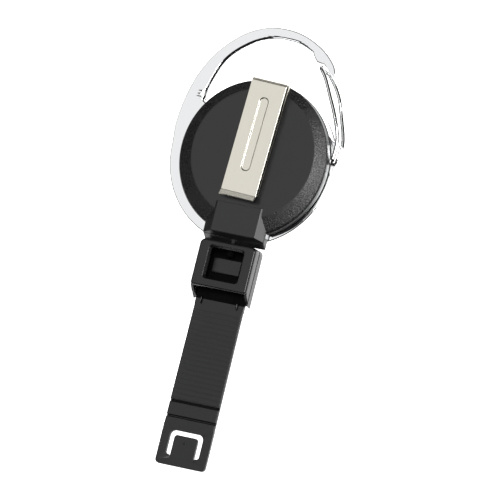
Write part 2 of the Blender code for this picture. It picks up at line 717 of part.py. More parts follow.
# ---------------------------------------------------------------- spool, spring and cord
def spring_arbor():
    """Fixed post with a foot and a slot that takes the spring's inner end."""
    foot_top = ARBOR_BASE + WEB
    top = COVER_Z - GAP
    points = [
        (0.0, top), (ARBOR_RADIUS, top), (ARBOR_RADIUS, foot_top), (ARBOR_FLANGE, foot_top),
        (ARBOR_FLANGE, ARBOR_BASE), (0.0, ARBOR_BASE),
    ]
    post = turned("spring_arbor", points, False, 32)
    reach = ARBOR_RADIUS + OVERSHOOT
    slot_low = (-reach, -ARBOR_SLOT / 2.0, SPRING_FLOOR)
    cut(post, box("arbor_slot", slot_low, (reach, ARBOR_SLOT / 2.0, top + OVERSHOOT)))
    return finish(post, WHITE_ACETAL)


def spool():
    """Spool: cord hub above a web, and the spring's chamber inside the skirt below it."""
    skirt_inner = SKIRT_OUTER - SKIRT_WALL
    points = [
        (SPOOL_BORE, HUB_TOP), (HUB_RADIUS, HUB_TOP), (HUB_RADIUS, GROOVE_Z), (SPOOL_RADIUS, GROOVE_Z),
        (SPOOL_RADIUS, WEB_Z), (SKIRT_OUTER, WEB_Z), (SKIRT_OUTER, SPRING_FLOOR),
        (skirt_inner, SPRING_FLOOR),
        (skirt_inner, WEB_Z), (SPOOL_BORE, WEB_Z),
    ]
    return finish(turned("spool", points, True), WHITE_ACETAL)


def spool_cover():
    """Upper flange of the spool, pressed on its hub."""
    top = COVER_Z + COVER_THICKNESS
    points = [(COVER_BORE, top), (SPOOL_RADIUS, top), (SPOOL_RADIUS, COVER_Z), (COVER_BORE, COVER_Z)]
    return finish(turned("spool_cover", points, True), WHITE_ACETAL)


def power_spring():
    """Spiral strip from the arbor's slot out to the skirt."""
    start = ARBOR_RADIUS + SPRING_START
    end = SKIRT_OUTER - SKIRT_WALL - GAP - SPRING_STRIP
    count = SPRING_TURNS * 16
    path = [(SPRING_TAIL, 0.0), (ARBOR_RADIUS, 0.0)]
    for i in range(1, count + 1):
        angle = math.tau * SPRING_TURNS * i / count
        radius = start + (end - start) * i / count
        path.append((radius * math.cos(angle), radius * math.sin(angle)))
    low = SPRING_FLOOR + GAP
    return finish(plate("power_spring", [ribbon(path, SPRING_STRIP)], low, WEB_Z - GAP), SPRING_STEEL)


def cord_winding():
    """The wound cord, as one ring in the spool's groove."""
    low = GROOVE_Z + GAP
    high = COVER_Z - GAP
    inner = HUB_RADIUS + GAP
    points = [(inner, high), (WINDING_OUTER, high), (WINDING_OUTER, low), (inner, low)]
    return finish(turned("cord_winding", points, True), BLACK_CORD)


def cord_run():
    """The cord from the winding to the outlet, inside the case."""
    leave = WINDING_OUTER + GAP + CORD_RADIUS
    z = GROOVE_Z + GAP + CORD_RADIUS * 1.33
    rise = CORD_Z - z
    edge = -CASE_RADIUS
    angle = math.radians(-53.33)
    route = smooth([
        (leave * math.cos(angle), leave * math.sin(angle), z), (0.0062, edge + 0.0054, z + rise * 0.08),
        (0.0042, edge + 0.0039, z + rise * 0.25), (0.0022, edge + 0.0026, z + rise * 0.52),
        (0.0009, edge + 0.0019, CORD_Z - rise * 0.08), (0.0, edge + 0.0012, CORD_Z),
        (0.0, edge + 0.0006, CORD_Z),
    ], 4)
    return finish(tube("cord_run", route, CORD_RADIUS, 2), BLACK_CORD)


def cord_lead():
    """The cord from the outlet into the catch."""
    start = -CASE_RADIUS + 0.0006 - GAP
    end = FERRULE_START + GAP
    steps = 5
    route = [(0.0, start + (end - start) * i / steps, CORD_Z) for i in range(steps + 1)]
    return finish(tube("cord_lead", route, CORD_RADIUS, 2), BLACK_CORD)


def cord_ferrule():
    """Moulded stop that holds the cord's end inside the catch."""
    end = (0.0, FERRULE_START - FERRULE_LENGTH, CORD_Z)
    item = rod("cord_ferrule", FERRULE_RADIUS, (0.0, FERRULE_START, CORD_Z), end)
    return finish(round_edges(item, FERRULE_EDGE), BLACK_ABS)


# ---------------------------------------------------------------- catch
def cord_hole(name):
    """Tool for the hole that lets the cord into the catch."""
    start = (0.0, CATCH_START + OVERSHOOT, CORD_Z)
    return rod(name, OUTLET_RADIUS, start, (0.0, CATCH_START - CATCH_WALL - GAP, CORD_Z))


def catch_base():
    """Tray of the catch: floor, side cheeks that run on past the mouth, and an end wall."""
    split = CORD_Z - GAP / 2.0
    side = [
        (CATCH_START, CATCH_BOTTOM), (CATCH_START, split), (CHEEK_TOP_END, split), (CHEEK_END, STRAP_MID),
        (CHEEK_END, CATCH_BOTTOM),
    ]
    tray = profile("catch_base", side, CATCH_HALF_WIDTH)
    round_edges(tray, CATCH_EDGE)
    low = (-CATCH_INNER, CHEEK_END - OVERSHOOT, CATCH_BOTTOM + CATCH_FLOOR)
    cut(tray, box("tray_room", low, (CATCH_INNER, CATCH_START - CATCH_WALL, split + OVERSHOOT)))
    cut(tray, cord_hole("tray_cord_hole"))
    return finish(tray, BLACK_ABS)


def catch_cover():
    """Cover of the catch with its window, open towards the mouth."""
    split = CORD_Z + GAP / 2.0
    side = [(CATCH_START, split), (CATCH_START, CATCH_TOP), (CATCH_END, CATCH_TOP), (CHEEK_TOP_END, split)]
    cover = profile("catch_cover", side, CATCH_HALF_WIDTH)
    round_edges(cover, CATCH_EDGE)
    room_top = CATCH_TOP - CATCH_LID
    low = (-CATCH_INNER, CHEEK_END - OVERSHOOT, split - OVERSHOOT)
    cut(cover, box("cover_room", low, (CATCH_INNER, CATCH_START - CATCH_WALL, room_top)))
    half = WINDOW_HALF_WIDTH
    window = rounded_box_outline(-half, half, WINDOW[1], WINDOW[0], WINDOW_CORNER)
    cut(cover, plate("window_opening", [window], room_top - CATCH_EDGE, CATCH_TOP + OVERSHOOT))
    cut(cover, window_bevel())
    cut(cover, cord_hole("cover_cord_hole"))
    return finish(cover, BLACK_ABS)


def window_bevel():
    """Tool for the sloping border round the window."""
    low = CATCH_TOP - WINDOW_BEVEL
    reach = CATCH_EDGE
    tool = box("window_bevel", (-1.0, -1.0, low), (1.0, 1.0, CATCH_TOP + reach))
    middle = (WINDOW[0] + WINDOW[1]) / 2.0
    half_length = (WINDOW[0] - WINDOW[1]) / 2.0
    for vertex in tool.data.vertices:
        grow = WINDOW_BEVEL + reach if vertex.co.z > CATCH_TOP else 0.0
        vertex.co.x = math.copysign(WINDOW_HALF_WIDTH + grow, vertex.co.x)
        vertex.co.y = middle + math.copysign(half_length + grow, vertex.co.y)
    return tool


# ---------------------------------------------------------------- strap
def strap_half_width(y):
    """The strap widens slightly towards its free end."""
    return STRAP_HALF_ROOT + STRAP_TAPER * (HINGES[0] - y)


def strap_root():
    """Fixed end of the strap in the catch, with a plateau under the window and two guide hooks."""
    end = HINGES[0] + GAP / 2.0
    half = STRAP_HALF_ROOT
    outline = rounded_box_outline(-half, half, end, ROOT_START, FRAME_EDGE, 2)
    root = plate("strap_root", [outline], STRAP_BOTTOM, STRAP_TOP)
    half = PLATEAU_HALF_WIDTH
    join(root, box("plateau", (-half, PLATEAU[1], STRAP_MID), (half, PLATEAU[0], PLATEAU_TOP)))
    for name, x in (("left_hook", -HOOK_X), ("right_hook", HOOK_X)):
        join(root, box(name, (x - HOOK_HALF, HOOK[1], STRAP_MID), (x + HOOK_HALF, HOOK[0], CORD_Z)))
    return finish(root, BLACK_STRAP, False)


def ribbed_link(name, start, end):
    """One link of the bending strap, with ribs across its outer face."""
    top = start - GAP / 2.0
    bottom = end + GAP / 2.0
    length = top - bottom
    count = int(length / RIB_PITCH)
    margin = (length - (count - 1) * RIB_PITCH - RIB_WIDTH) / 2.0
    valley = STRAP_TOP - RIB_DEPTH
    outline = [(bottom, STRAP_BOTTOM), (top, STRAP_BOTTOM), (top, valley)]
    for i in range(count):
        edge = top - margin - i * RIB_PITCH
        outline += [
            (edge, valley), (edge, STRAP_TOP), (edge - RIB_WIDTH, STRAP_TOP), (edge - RIB_WIDTH, valley)
        ]
    outline.append((bottom, valley))
    half = strap_half_width((start + end) / 2.0)
    return finish(profile(name, outline, half), BLACK_STRAP, False)


def strap_tab():
    """Free end of the strap, with a U-shaped slot that frees the tongue."""
    half = strap_half_width(STRAP_END)
    start = HINGES[-1] - GAP / 2.0
    corner = STRAP_CORNER
    outline = (
        [(-half, start), (-half, STRAP_END + corner)]
        + arc((-half + corner, STRAP_END + corner), corner, 180, 270, 5)[1:]
        + arc((half - corner, STRAP_END + corner), corner, 270, 360, 5)
        + [(half, start)]
    )
    radius = (SLOT_HALF_OUTER - SLOT_HALF_INNER) / 2.0
    leg = (SLOT_HALF_OUTER + SLOT_HALF_INNER) / 2.0
    slot_top, slot_end = SLOT
    wide = SLOT_HALF_OUTER - SLOT_CORNER
    crease = CREASE - GAP / 2.0
    slot = (
        arc((-wide, slot_top - SLOT_CORNER), SLOT_CORNER, 90, 180, 5)
        + arc((-leg, slot_end + radius), radius, 180, 360, 6)
        + [(-SLOT_HALF_INNER, crease), (SLOT_HALF_INNER, crease)]
        + arc((leg, slot_end + radius), radius, 180, 360, 6)
        + arc((wide, slot_top - SLOT_CORNER), SLOT_CORNER, 0, 90, 5)
    )
    return finish(plate("strap_tab", [outline, slot], STRAP_BOTTOM, STRAP_TOP), BLACK_STRAP, False)


def strap_tongue():
    """Springy tongue between the slot's legs, hinged at the crease near the strap's end."""
    half = SLOT_HALF_INNER - GAP
    corner = TONGUE_CORNER
    crease = CREASE + GAP / 2.0
    outline = (
        [(half, crease)] + arc((half - corner, TONGUE_TOP - corner), corner, 0, 90, 4)
        + arc((-half + corner, TONGUE_TOP - corner), corner, 90, 180, 4) + [(-half, crease)]
    )
    return finish(plate("strap_tongue", [outline], STRAP_BOTTOM, STRAP_TOP), BLACK_STRAP, False)


# ---------------------------------------------------------------- assembly
front_cover()
front_insert()
rear_cover()
carabiner_frame()
spring_arbor()
power_spring()
clip_rivet()
cord_run()

gate = pivot_empty("gate_hinge", (*PIVOT, (NEAR_Z + FAR_PIVOT_Z) / 2.0))
carry(gate, gate_wire())

clip = pivot_empty("clip_swivel", (0.0, 0.0, 0.0), None, (0.0, 0.0, CLIP_TURN))
base = clip_base()
base.parent = clip
slope = math.asin(CLIP_DROP / CLIP_ARM_LENGTH)
flex = pivot_empty("clip_flex", (0.0, CLIP_BEND_Y, ARM_Z), clip, (slope, 0.0, 0.0))
arm = clip_arm()
arm.parent = flex

spin = pivot_empty("spool_spin", (0.0, 0.0, GROOVE_Z))
carry(spin, spool(), spool_cover(), cord_winding())

pull = pivot_empty("cord_pull", (0.0, NOSE_FOOT, CORD_Z))
carry(pull, cord_lead(), cord_ferrule(), catch_base(), catch_cover(), strap_root())

link_names = ["strap_flex_1", "strap_flex_2", "strap_flex_3", "strap_flex_4", "strap_fold"]
above = pull
for number, name in enumerate(link_names):
    bend = pivot_empty("strap_bend_" + str(number + 1), (0.0, 0.0, 0.0))
    bend.parent = above
    bend.matrix_parent_inverse = above.matrix_world.inverted()
    bend.location = (0.0, HINGES[number], STRAP_MID)
    bpy.context.view_layer.update()
    carry(bend, ribbed_link(name, HINGES[number], HINGES[number + 1]))
    above = bend

last = pivot_empty("strap_bend_6", (0.0, 0.0, 0.0))
last.parent = above
last.matrix_parent_inverse = above.matrix_world.inverted()
last.location = (0.0, HINGES[-1], STRAP_MID)
bpy.context.view_layer.update()
carry(last, strap_tab())

tongue = pivot_empty("tongue_flex", (0.0, 0.0, 0.0))
tongue.parent = last
tongue.matrix_parent_inverse = last.matrix_world.inverted()
tongue.location = (0.0, CREASE, STRAP_MID)
bpy.context.view_layer.update()
carry(tongue, strap_tongue())
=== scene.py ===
"""Looks of the retractable badge reel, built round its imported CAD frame.

Lengths in this file are millimetres until piece() turns them to metres. The frame is the part's own: z = 0 is
the face of the label disc, +z points out of the back with the belt clip, +y to the top of the carabiner arch,
and the reel turns about the z axis.
"""

import bmesh
import bpy
import numpy as np
from mathutils import Matrix, Vector
from mathutils.geometry import tessellate_polygon


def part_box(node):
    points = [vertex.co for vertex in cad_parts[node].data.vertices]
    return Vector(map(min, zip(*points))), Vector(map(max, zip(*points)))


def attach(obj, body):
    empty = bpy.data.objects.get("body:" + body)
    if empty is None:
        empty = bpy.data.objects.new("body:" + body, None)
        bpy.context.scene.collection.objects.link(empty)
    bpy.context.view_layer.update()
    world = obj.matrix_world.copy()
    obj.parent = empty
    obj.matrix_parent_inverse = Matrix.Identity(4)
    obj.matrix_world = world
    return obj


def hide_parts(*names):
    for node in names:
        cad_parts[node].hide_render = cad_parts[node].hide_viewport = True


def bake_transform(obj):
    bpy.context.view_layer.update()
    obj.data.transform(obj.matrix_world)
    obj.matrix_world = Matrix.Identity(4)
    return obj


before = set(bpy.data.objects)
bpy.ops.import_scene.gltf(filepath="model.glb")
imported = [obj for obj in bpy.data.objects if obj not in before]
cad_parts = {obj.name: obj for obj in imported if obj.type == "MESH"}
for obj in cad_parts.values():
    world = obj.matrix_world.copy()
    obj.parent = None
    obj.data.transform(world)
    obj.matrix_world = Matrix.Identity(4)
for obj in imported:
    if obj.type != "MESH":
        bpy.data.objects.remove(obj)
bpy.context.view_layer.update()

MM = 0.001
ROUND = 192                   # points round the case
PI = np.pi


def low(node_name):
    """Lowest corner of a CAD node, in millimetres."""
    return np.array(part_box(node_name)[0]) / MM


def high(node_name):
    """Highest corner of a CAD node, in millimetres."""
    return np.array(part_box(node_name)[1]) / MM


# ---------------------------------------------------------------- camera and light
AIM = Vector((3.204, -20.163, 4.257)) * MM     # the middle of the view
VIEW_RIGHT = Vector((0.9042, 0.2392, -0.3536))
VIEW_UP = Vector((-0.1806, 0.9648, 0.1907))
VIEW_DISTANCE = 1.6667                         # in metres
LENS = 529.6


def camera():
    """Long lens above the back of the reel, leaning to the right and turned so that the strap runs down
    left."""
    back = VIEW_RIGHT.cross(VIEW_UP).normalized()
    data = bpy.data.cameras.new("camera")
    data.lens = LENS
    data.sensor_width = 36.0
    data.clip_start = 0.1
    data.clip_end = 20.0
    item = bpy.data.objects.new("camera", data)
    bpy.context.scene.collection.objects.link(item)
    turn = Matrix((VIEW_RIGHT, VIEW_UP, back)).transposed().to_4x4()
    item.matrix_world = Matrix.Translation(AIM + back * VIEW_DISTANCE) @ turn
    bpy.context.scene.camera = item


def softbox(name, direction, distance, width, height, power):
    """Rectangular soft light at a distance from the reel, facing it. Metres and watts."""
    data = bpy.data.lights.new(name, 'AREA')
    data.shape = 'RECTANGLE'
    data.size = width
    data.size_y = height
    data.energy = power
    item = bpy.data.objects.new(name, data)
    bpy.context.scene.collection.objects.link(item)
    away = Vector(direction).normalized()
    item.location = Vector((0.0, -0.02, 0.0)) + away * distance
    item.rotation_euler = away.to_track_quat('Z', 'Y').to_euler()


camera()


# ---------------------------------------------------------------- nodes and colours
def linear(code):
    """Linear colour of an sRGB hex value."""
    channel = np.array([int(code[i:i + 2], 16) for i in (1, 3, 5)]) / 255.0
    return (*np.where(channel <= 0.04045, channel / 12.92, ((channel + 0.055) / 1.055) ** 2.4), 1.0)


def add(tree, kind, sockets=None, **settings):
    """Add one node. Settings are its properties; sockets give each input a value or the output that feeds
    it."""
    item = tree.nodes.new(kind)
    for name, value in settings.items():
        setattr(item, name, value)
    for name, value in (sockets or {}).items():
        if isinstance(value, bpy.types.NodeSocket):
            tree.links.new(value, item.inputs[name])
        else:
            item.inputs[name].default_value = value
    return item


def skin(name, colour, roughness, metallic=0.0, **sockets):
    """A Principled material with its uniform values on the shader's own sockets."""
    item = bpy.data.materials.new(name)
    item.use_nodes = True
    shader = item.node_tree.nodes["Principled BSDF"]
    shader.inputs["Base Color"].default_value = linear(colour)
    shader.inputs["Roughness"].default_value = roughness
    shader.inputs["Metallic"].default_value = metallic
    for socket, value in sockets.items():
        shader.inputs[socket.replace("_", " ")].default_value = value
    return item, item.node_tree, shader


CLOUD = 6.0                   # size of the soft patches in moulded plastic


def grained(name, colour, colour_b, roughness, spread, grain, depth, strength, **sockets):
    """Moulded plastic: colour and gloss that wander over CLOUD millimetres, and a fine grain in the bump.
    Grain and depth are in millimetres."""
    item, tree, shader = skin(name, colour, roughness, **sockets)
    place = add(tree, "ShaderNodeTexCoord").outputs["Object"]
    cloud = add(tree, "ShaderNodeTexNoise", {"Vector": place, "Scale": 1000.0 / CLOUD, "Detail": 3.0})
    mixed = add(tree, "ShaderNodeMix", {0: cloud.outputs["Fac"], 6: linear(colour), 7: linear(colour_b)},
                data_type='RGBA')
    tree.links.new(mixed.outputs[2], shader.inputs["Base Color"])
    fine = add(tree, "ShaderNodeTexNoise", {"Vector": place, "Scale": 1000.0 / grain, "Detail": 2.0})
    both = add(tree, "ShaderNodeMath", {0: cloud.outputs["Fac"], 1: fine.outputs["Fac"]}, operation='ADD')
    gloss = add(tree, "ShaderNodeMapRange", {
        "Value": both.outputs[0], "From Min": 0.7, "From Max": 1.3, "To Min": roughness - spread,
        "To Max": roughness + spread})
    tree.links.new(gloss.outputs[0], shader.inputs["Roughness"])
    bump = add(tree, "ShaderNodeBump", {
        "Height": fine.outputs["Fac"], "Strength": strength, "Distance": depth * MM})
    tree.links.new(bump.outputs[0], shader.inputs["Normal"])
    return item


# black ABS off a polished tool: an even satin that greys a little where light sweeps it
SATIN_ABS = grained("satin_moulded_abs", "#1d1d1e", "#212122", 0.32, 0.04, 0.35, 0.01, 0.15)
# black ABS off a spark-eroded tool: a sparkling grain about 0.2 mm across
SPARK_ABS = grained("spark_textured_abs", "#141415", "#19191b", 0.30, 0.10, 0.26, 0.09, 0.9)
# black ABS, glossier, on the small latch parts
LATCH_ABS = grained("glossy_moulded_abs", "#0e0e0f", "#121213", 0.26, 0.04, 0.30, 0.01, 0.15)
# flexible black polypropylene: softer gloss, faint flow marks
STRAP_PP = grained("moulded_polypropylene", "#111112", "#151516", 0.36, 0.05, 0.28, 0.01, 0.3)
# the same black plastic made near black and dull as painted shade, only to match how dark the faces inside
# the catch look
SHADED_ABS = grained("painted_shade_moulded_abs", "#030303", "#050505", 0.8, 0.05, 0.30, 0.01, 0.25,
                     Specular_IOR_Level=0.08)
# white acetal of the spool: waxy, slightly see-through
ACETAL = grained("white_acetal", "#e6e4de", "#dedcd4", 0.42, 0.05, 0.40, 0.01, 0.2)
# black printed label under clear lacquer: deep gloss with a slight orange peel
LABEL = grained("lacquered_label", "#101012", "#141416", 0.12, 0.03, 0.90, 0.01, 0.2)


def bright_metal(name, colour, roughness, wave, depth, stretch=(1.0, 1.0, 1.0), wander=0.35):
    """Plated metal: a slow ripple in the bump, and gloss that wanders with a finer noise by a share of
    itself."""
    item, tree, shader = skin(name, colour, roughness, 1.0)
    place = add(tree, "ShaderNodeTexCoord").outputs["Object"]
    drawn = add(tree, "ShaderNodeMapping", {"Vector": place, "Scale": stretch}).outputs[0]
    ripple = add(tree, "ShaderNodeTexNoise", {"Vector": drawn, "Scale": 1000.0 / wave, "Detail": 2.0})
    haze = add(tree, "ShaderNodeTexNoise", {"Vector": drawn, "Scale": 1000.0 / (wave * 0.3), "Detail": 3.0})
    gloss = add(tree, "ShaderNodeMapRange", {
        "Value": haze.outputs["Fac"], "From Min": 0.3, "From Max": 0.7, "To Min": roughness * (1.0 - wander),
        "To Max": roughness * (1.0 + wander)})
    tree.links.new(gloss.outputs[0], shader.inputs["Roughness"])
    bump = add(tree, "ShaderNodeBump", {
        "Height": ripple.outputs["Fac"], "Strength": 0.3, "Distance": depth * MM})
    tree.links.new(bump.outputs[0], shader.inputs["Normal"])
    return item


# decorative chrome over a polished zinc casting: mirror bright, faintly wavy
CHROME = bright_metal("bright_chrome_on_zinc", "#f1f2f3", 0.06, 6.0, 0.008)
# near-black metal on the wall of the pin's hole as painted shade, only to match how dark that narrow hole
# looks
PIN_HOLE_SHADE = bright_metal("painted_shade_in_pin_hole", "#1a1a1a", 0.6, 1.0, 0.01)
# chromed spring wire: bright, with marks drawn along it
WIRE = bright_metal("chromed_spring_wire", "#eceded", 0.08, 2.0, 0.01)
# nickel-plated spring strip, rolled along its length: warm satin
NICKEL = bright_metal("satin_nickel_strip", "#e1ddd1", 0.22, 0.8, 0.0005, (1.0, 0.05, 1.0), 0.12)
# blued spring steel
BLUED = bright_metal("blued_spring_steel", "#5b6474", 0.30, 1.0, 0.01)


def braided(name, colour, colour_b, pitch):
    """Braided nylon: two crossing diagonal waves on the tube's own length and turn, in millimetres and
    turns."""
    item, tree, shader = skin(name, colour, 0.75, Sheen_Weight=0.25)
    run = add(tree, "ShaderNodeAttribute", attribute_name="cord_run")
    split = add(tree, "ShaderNodeSeparateXYZ", {0: run.outputs["Vector"]})
    length = add(tree, "ShaderNodeMath", {0: split.outputs[0], 1: 2.0 * PI / pitch}, operation='MULTIPLY')
    turn = add(tree, "ShaderNodeMath", {0: split.outputs[1], 1: 2.0 * PI * 4.0}, operation='MULTIPLY')
    plus = add(tree, "ShaderNodeMath", {0: length.outputs[0], 1: turn.outputs[0]}, operation='ADD')
    minus = add(tree, "ShaderNodeMath", {0: length.outputs[0], 1: turn.outputs[0]}, operation='SUBTRACT')
    first = add(tree, "ShaderNodeMath", {0: plus.outputs[0]}, operation='SINE')
    second = add(tree, "ShaderNodeMath", {0: minus.outputs[0]}, operation='SINE')
    weave = add(tree, "ShaderNodeMath", {0: first.outputs[0], 1: second.outputs[0]}, operation='MAXIMUM')
    share = add(tree, "ShaderNodeMapRange", {"Value": weave.outputs[0], "From Min": -0.5, "From Max": 1.0})
    mixed = add(tree, "ShaderNodeMix", {0: share.outputs[0], 6: linear(colour), 7: linear(colour_b)},
                data_type='RGBA')
    tree.links.new(mixed.outputs[2], shader.inputs["Base Color"])
    bump = add(tree, "ShaderNodeBump", {"Height": weave.outputs[0], "Strength": 0.6, "Distance": 0.04 * MM})
    tree.links.new(bump.outputs[0], shader.inputs["Normal"])
    return item


# thin braided nylon cord, black
CORD = braided("braided_nylon_cord", "#141415", "#2b2b2d", 0.5)


# ---------------------------------------------------------------- shapes
def rounded(corners, radius, steps=6):
    """Closed outline through corners, each replaced by an arc that starts radius / tan(half its angle)
    away."""
    corners = np.asarray(corners, float)
    radius = np.broadcast_to(np.asarray(radius, float), len(corners))
    before = np.roll(corners, 1, 0) - corners
    after = np.roll(corners, -1, 0) - corners
    before /= np.linalg.norm(before, axis=1)[:, None]
    after /= np.linalg.norm(after, axis=1)[:, None]
    half = np.arccos(np.clip((before * after).sum(1), -1.0, 1.0)) / 2.0
    middle = before + after
    middle /= np.linalg.norm(middle, axis=1)[:, None]
    centre = corners + middle * (radius / np.sin(half))[:, None]
    start = corners + before * (radius / np.tan(half))[:, None] - centre
    end = corners + after * (radius / np.tan(half))[:, None] - centre
    sweep = (PI - 2.0 * half)[:, None, None]
    t = np.linspace(0.0, 1.0, steps + 1)[None, :, None]
    path = start[:, None] * np.sin((1.0 - t) * sweep) + end[:, None] * np.sin(t * sweep)
    return (centre[:, None] + path / np.sin(sweep)).reshape(-1, 2)


def spline(points, count):
    """Catmull-Rom curve through points, count pieces between neighbours: a cubic through each pair of
    them."""
    points = np.asarray(points, float)
    whole = np.vstack((2.0 * points[0] - points[1], points, 2.0 * points[-1] - points[-2]))
    a, b, c, d = whole[:-3, None], whole[1:-2, None], whole[2:-1, None], whole[3:, None]
    t = (np.arange(count) / count)[None, :, None]
    cubic = b + 0.5 * t * (c - a + t * (2.0 * a - 5.0 * b + 4.0 * c - d + t * (3.0 * (b - c) + d - a)))
    return np.vstack((cubic.reshape(-1, points.shape[1]), points[-1]))


def arc(centre, radius, start, end, count):
    """Points on a circle between two angles in degrees."""
    angle = np.radians(np.linspace(start, end, count + 1))
    return np.stack((centre[0] + radius * np.cos(angle), centre[1] + radius * np.sin(angle)), 1)


def inset(outline, distance):
    """Outline moved to its left: each point goes along the mean of its two edges' normals, mitred."""
    edge = np.roll(outline, -1, 0) - outline
    normal = np.stack((-edge[:, 1], edge[:, 0]), 1) / np.linalg.norm(edge, axis=1)[:, None]
    mean = normal + np.roll(normal, 1, 0)
    mean /= np.linalg.norm(mean, axis=1)[:, None]
    reach = distance / np.maximum((mean * normal).sum(1), 0.6)
    return outline + mean * np.asarray(reach)[:, None]


def loft(loops, ring=False):
    """Surface through closed loops with the same number of points: quads between neighbours, and flat ends,
    or a last row of quads back to the first loop if the surface is a ring."""
    loops = np.asarray(loops, float)
    rows, columns = loops.shape[:2]
    i, j = np.meshgrid(np.arange(rows if ring else rows - 1), np.arange(columns), indexing="ij")
    up, on = (i + 1) % rows, (j + 1) % columns
    corners = (i * columns + j, i * columns + on, up * columns + on, up * columns + j)
    faces = np.stack(corners, -1).reshape(-1, 4).tolist()
    if not ring:
        faces.append(list(range(columns))[::-1])
        faces.append(list(range((rows - 1) * columns, rows * columns)))
    return loops.reshape(-1, 3), faces


def turned(profile, ring=True, shift=0.0, count=ROUND):
    """Profile of (radius, height) turned about z: x = r cos a, y = shift + r sin a. Shift may vary by row."""
    profile = np.asarray(profile, float)
    angle = np.linspace(0.0, 2.0 * PI, count, endpoint=False)[None, :]
    r, z = profile[:, :1], profile[:, 1:]
    shift = np.broadcast_to(np.asarray(shift, float), len(profile))[:, None]
    loops = np.stack(np.broadcast_arrays(r * np.cos(angle), shift + r * np.sin(angle), z), -1)
    return loft(loops, ring)


def plate(outlines, bottom, top, edge=0.2, steps=4, flat=0.0):
    """Flat part from an anticlockwise outline and clockwise holes: upright walls whose edges are quarter
    circles of radius edge, one number or one for each point, and triangles across the two faces. Where flat
    is 1 the first outline's edges are straight chamfers, and between 0 and 1 they are a mix of the two."""
    turn = np.linspace(0.0, PI / 2.0, steps + 1)
    line = turn / (PI / 2.0)
    inward = np.concatenate((1.0 - np.sin(turn), 1.0 - np.cos(turn)))
    rise = np.concatenate((1.0 - np.cos(turn), -1.0 + np.sin(turn)))
    inward_line = np.concatenate((1.0 - line, line))
    rise_line = np.concatenate((line, line - 1.0))
    base = np.concatenate((np.full(steps + 1, bottom), np.full(steps + 1, top)))
    edges = edge if isinstance(edge, list) else [edge] * len(outlines)
    points, faces, lids, start = [], [], ([], []), 0
    for outline, size in zip(outlines, edges):
        size = np.broadcast_to(np.asarray(size, float), len(outline))
        mix = flat if start == 0 else 0.0
        rows = [np.column_stack((inset(outline, size * (step + mix * (step_line - step))),
                                 level + size * (up + mix * (up_line - up))))
                for step, step_line, up, up_line, level in zip(inward, inward_line, rise, rise_line, base)]
        shell, quads = loft(rows)
        faces += [[start + i for i in face] for face in quads[:-2]]
        for lid, row in zip(lids, (0, len(rows) - 1)):
            lid.append((start + row * len(outline), shell[row * len(outline):(row + 1) * len(outline)]))
        points.append(shell)
        start += len(shell)
    for lid in lids:
        index = np.concatenate([first + np.arange(len(loop)) for first, loop in lid])
        borders = [[Vector((*place[:2], 0.0)) for place in loop] for first, loop in lid]
        faces += [[int(index[i]) for i in corner] for corner in tessellate_polygon(borders)]
    return np.vstack(points), faces


def tube(path, radius, sides=20, upright=(0.0, 0.0, 1.0)):
    """Round bar along a path: circles at right angles to it, turned so that they keep towards one
    direction."""
    path = np.asarray(path, float)
    along = np.gradient(path, axis=0)
    along /= np.linalg.norm(along, axis=1)[:, None]
    side = np.asarray(upright, float) - along * (along @ np.asarray(upright, float))[:, None]
    side /= np.linalg.norm(side, axis=1)[:, None]
    other = np.cross(along, side)
    angle = np.linspace(0.0, 2.0 * PI, sides, endpoint=False)[None, :, None]
    size = np.broadcast_to(np.asarray(radius, float), len(path))[:, None, None]
    return loft(path[:, None] + size * (side[:, None] * np.cos(angle) + other[:, None] * np.sin(angle)))


def joined(*parts):
    """Several surfaces as one."""
    starts = np.cumsum([0] + [len(part[0]) for part in parts[:-1]])
    points = np.vstack([part[0] for part in parts])
    faces = [[int(start) + i for i in face] for start, part in zip(starts, parts) for face in part[1]]
    return points, faces


def piece(name, surface, material, body=None, nodes=(), edge=0.0, angle=35.0, weighted=True):
    """Object at the origin from a surface in millimetres, with its faces outwards and its shading smooth."""
    mesh = bpy.data.meshes.new(name)
    mesh.from_pydata((surface[0] * MM).tolist(), [], surface[1])
    shape = bmesh.new()
    shape.from_mesh(mesh)
    bmesh.ops.remove_doubles(shape, verts=shape.verts, dist=2e-7)
    bmesh.ops.recalc_face_normals(shape, faces=shape.faces)
    shape.to_mesh(mesh)
    shape.free()
    mesh.materials.append(material)
    mesh.shade_smooth()
    mesh.set_sharp_from_angle(angle=np.radians(angle))
    item = bpy.data.objects.new(name, mesh)
    bpy.context.scene.collection.objects.link(item)
    if edge:
        bevel = item.modifiers.new("broken_edges", 'BEVEL')
        bevel.width = edge * MM
        bevel.segments = 2
        bevel.limit_method = 'ANGLE'
        bevel.angle_limit = np.radians(50.0)
    if weighted:
        item.modifiers.new("face_weighted", 'WEIGHTED_NORMAL').keep_sharp = True
    if body:
        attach(item, body)
    if nodes:
        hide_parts(*nodes)
    return item


# ---------------------------------------------------------------- case
CASE_R = high("rear_cover")[0]
LID_Z = low("rear_cover")[2]
NOSE_Z = high("rear_cover")[2]
NOSE_FOOT_Y = low("rear_cover")[1]
RIM_Z = 8.0                   # where the bevel meets the side wall
BACK_Z = 8.8                  # flat back
BACK_R = 14.93                # radius of the flat back
BACK_SHIFT = 1.05             # how far the flat back lies towards the arch
BORE_R = 1.3                  # hole for the clip's rivet
TEXTURE_FOOT = 7.2            # lowest height of the textured bevel


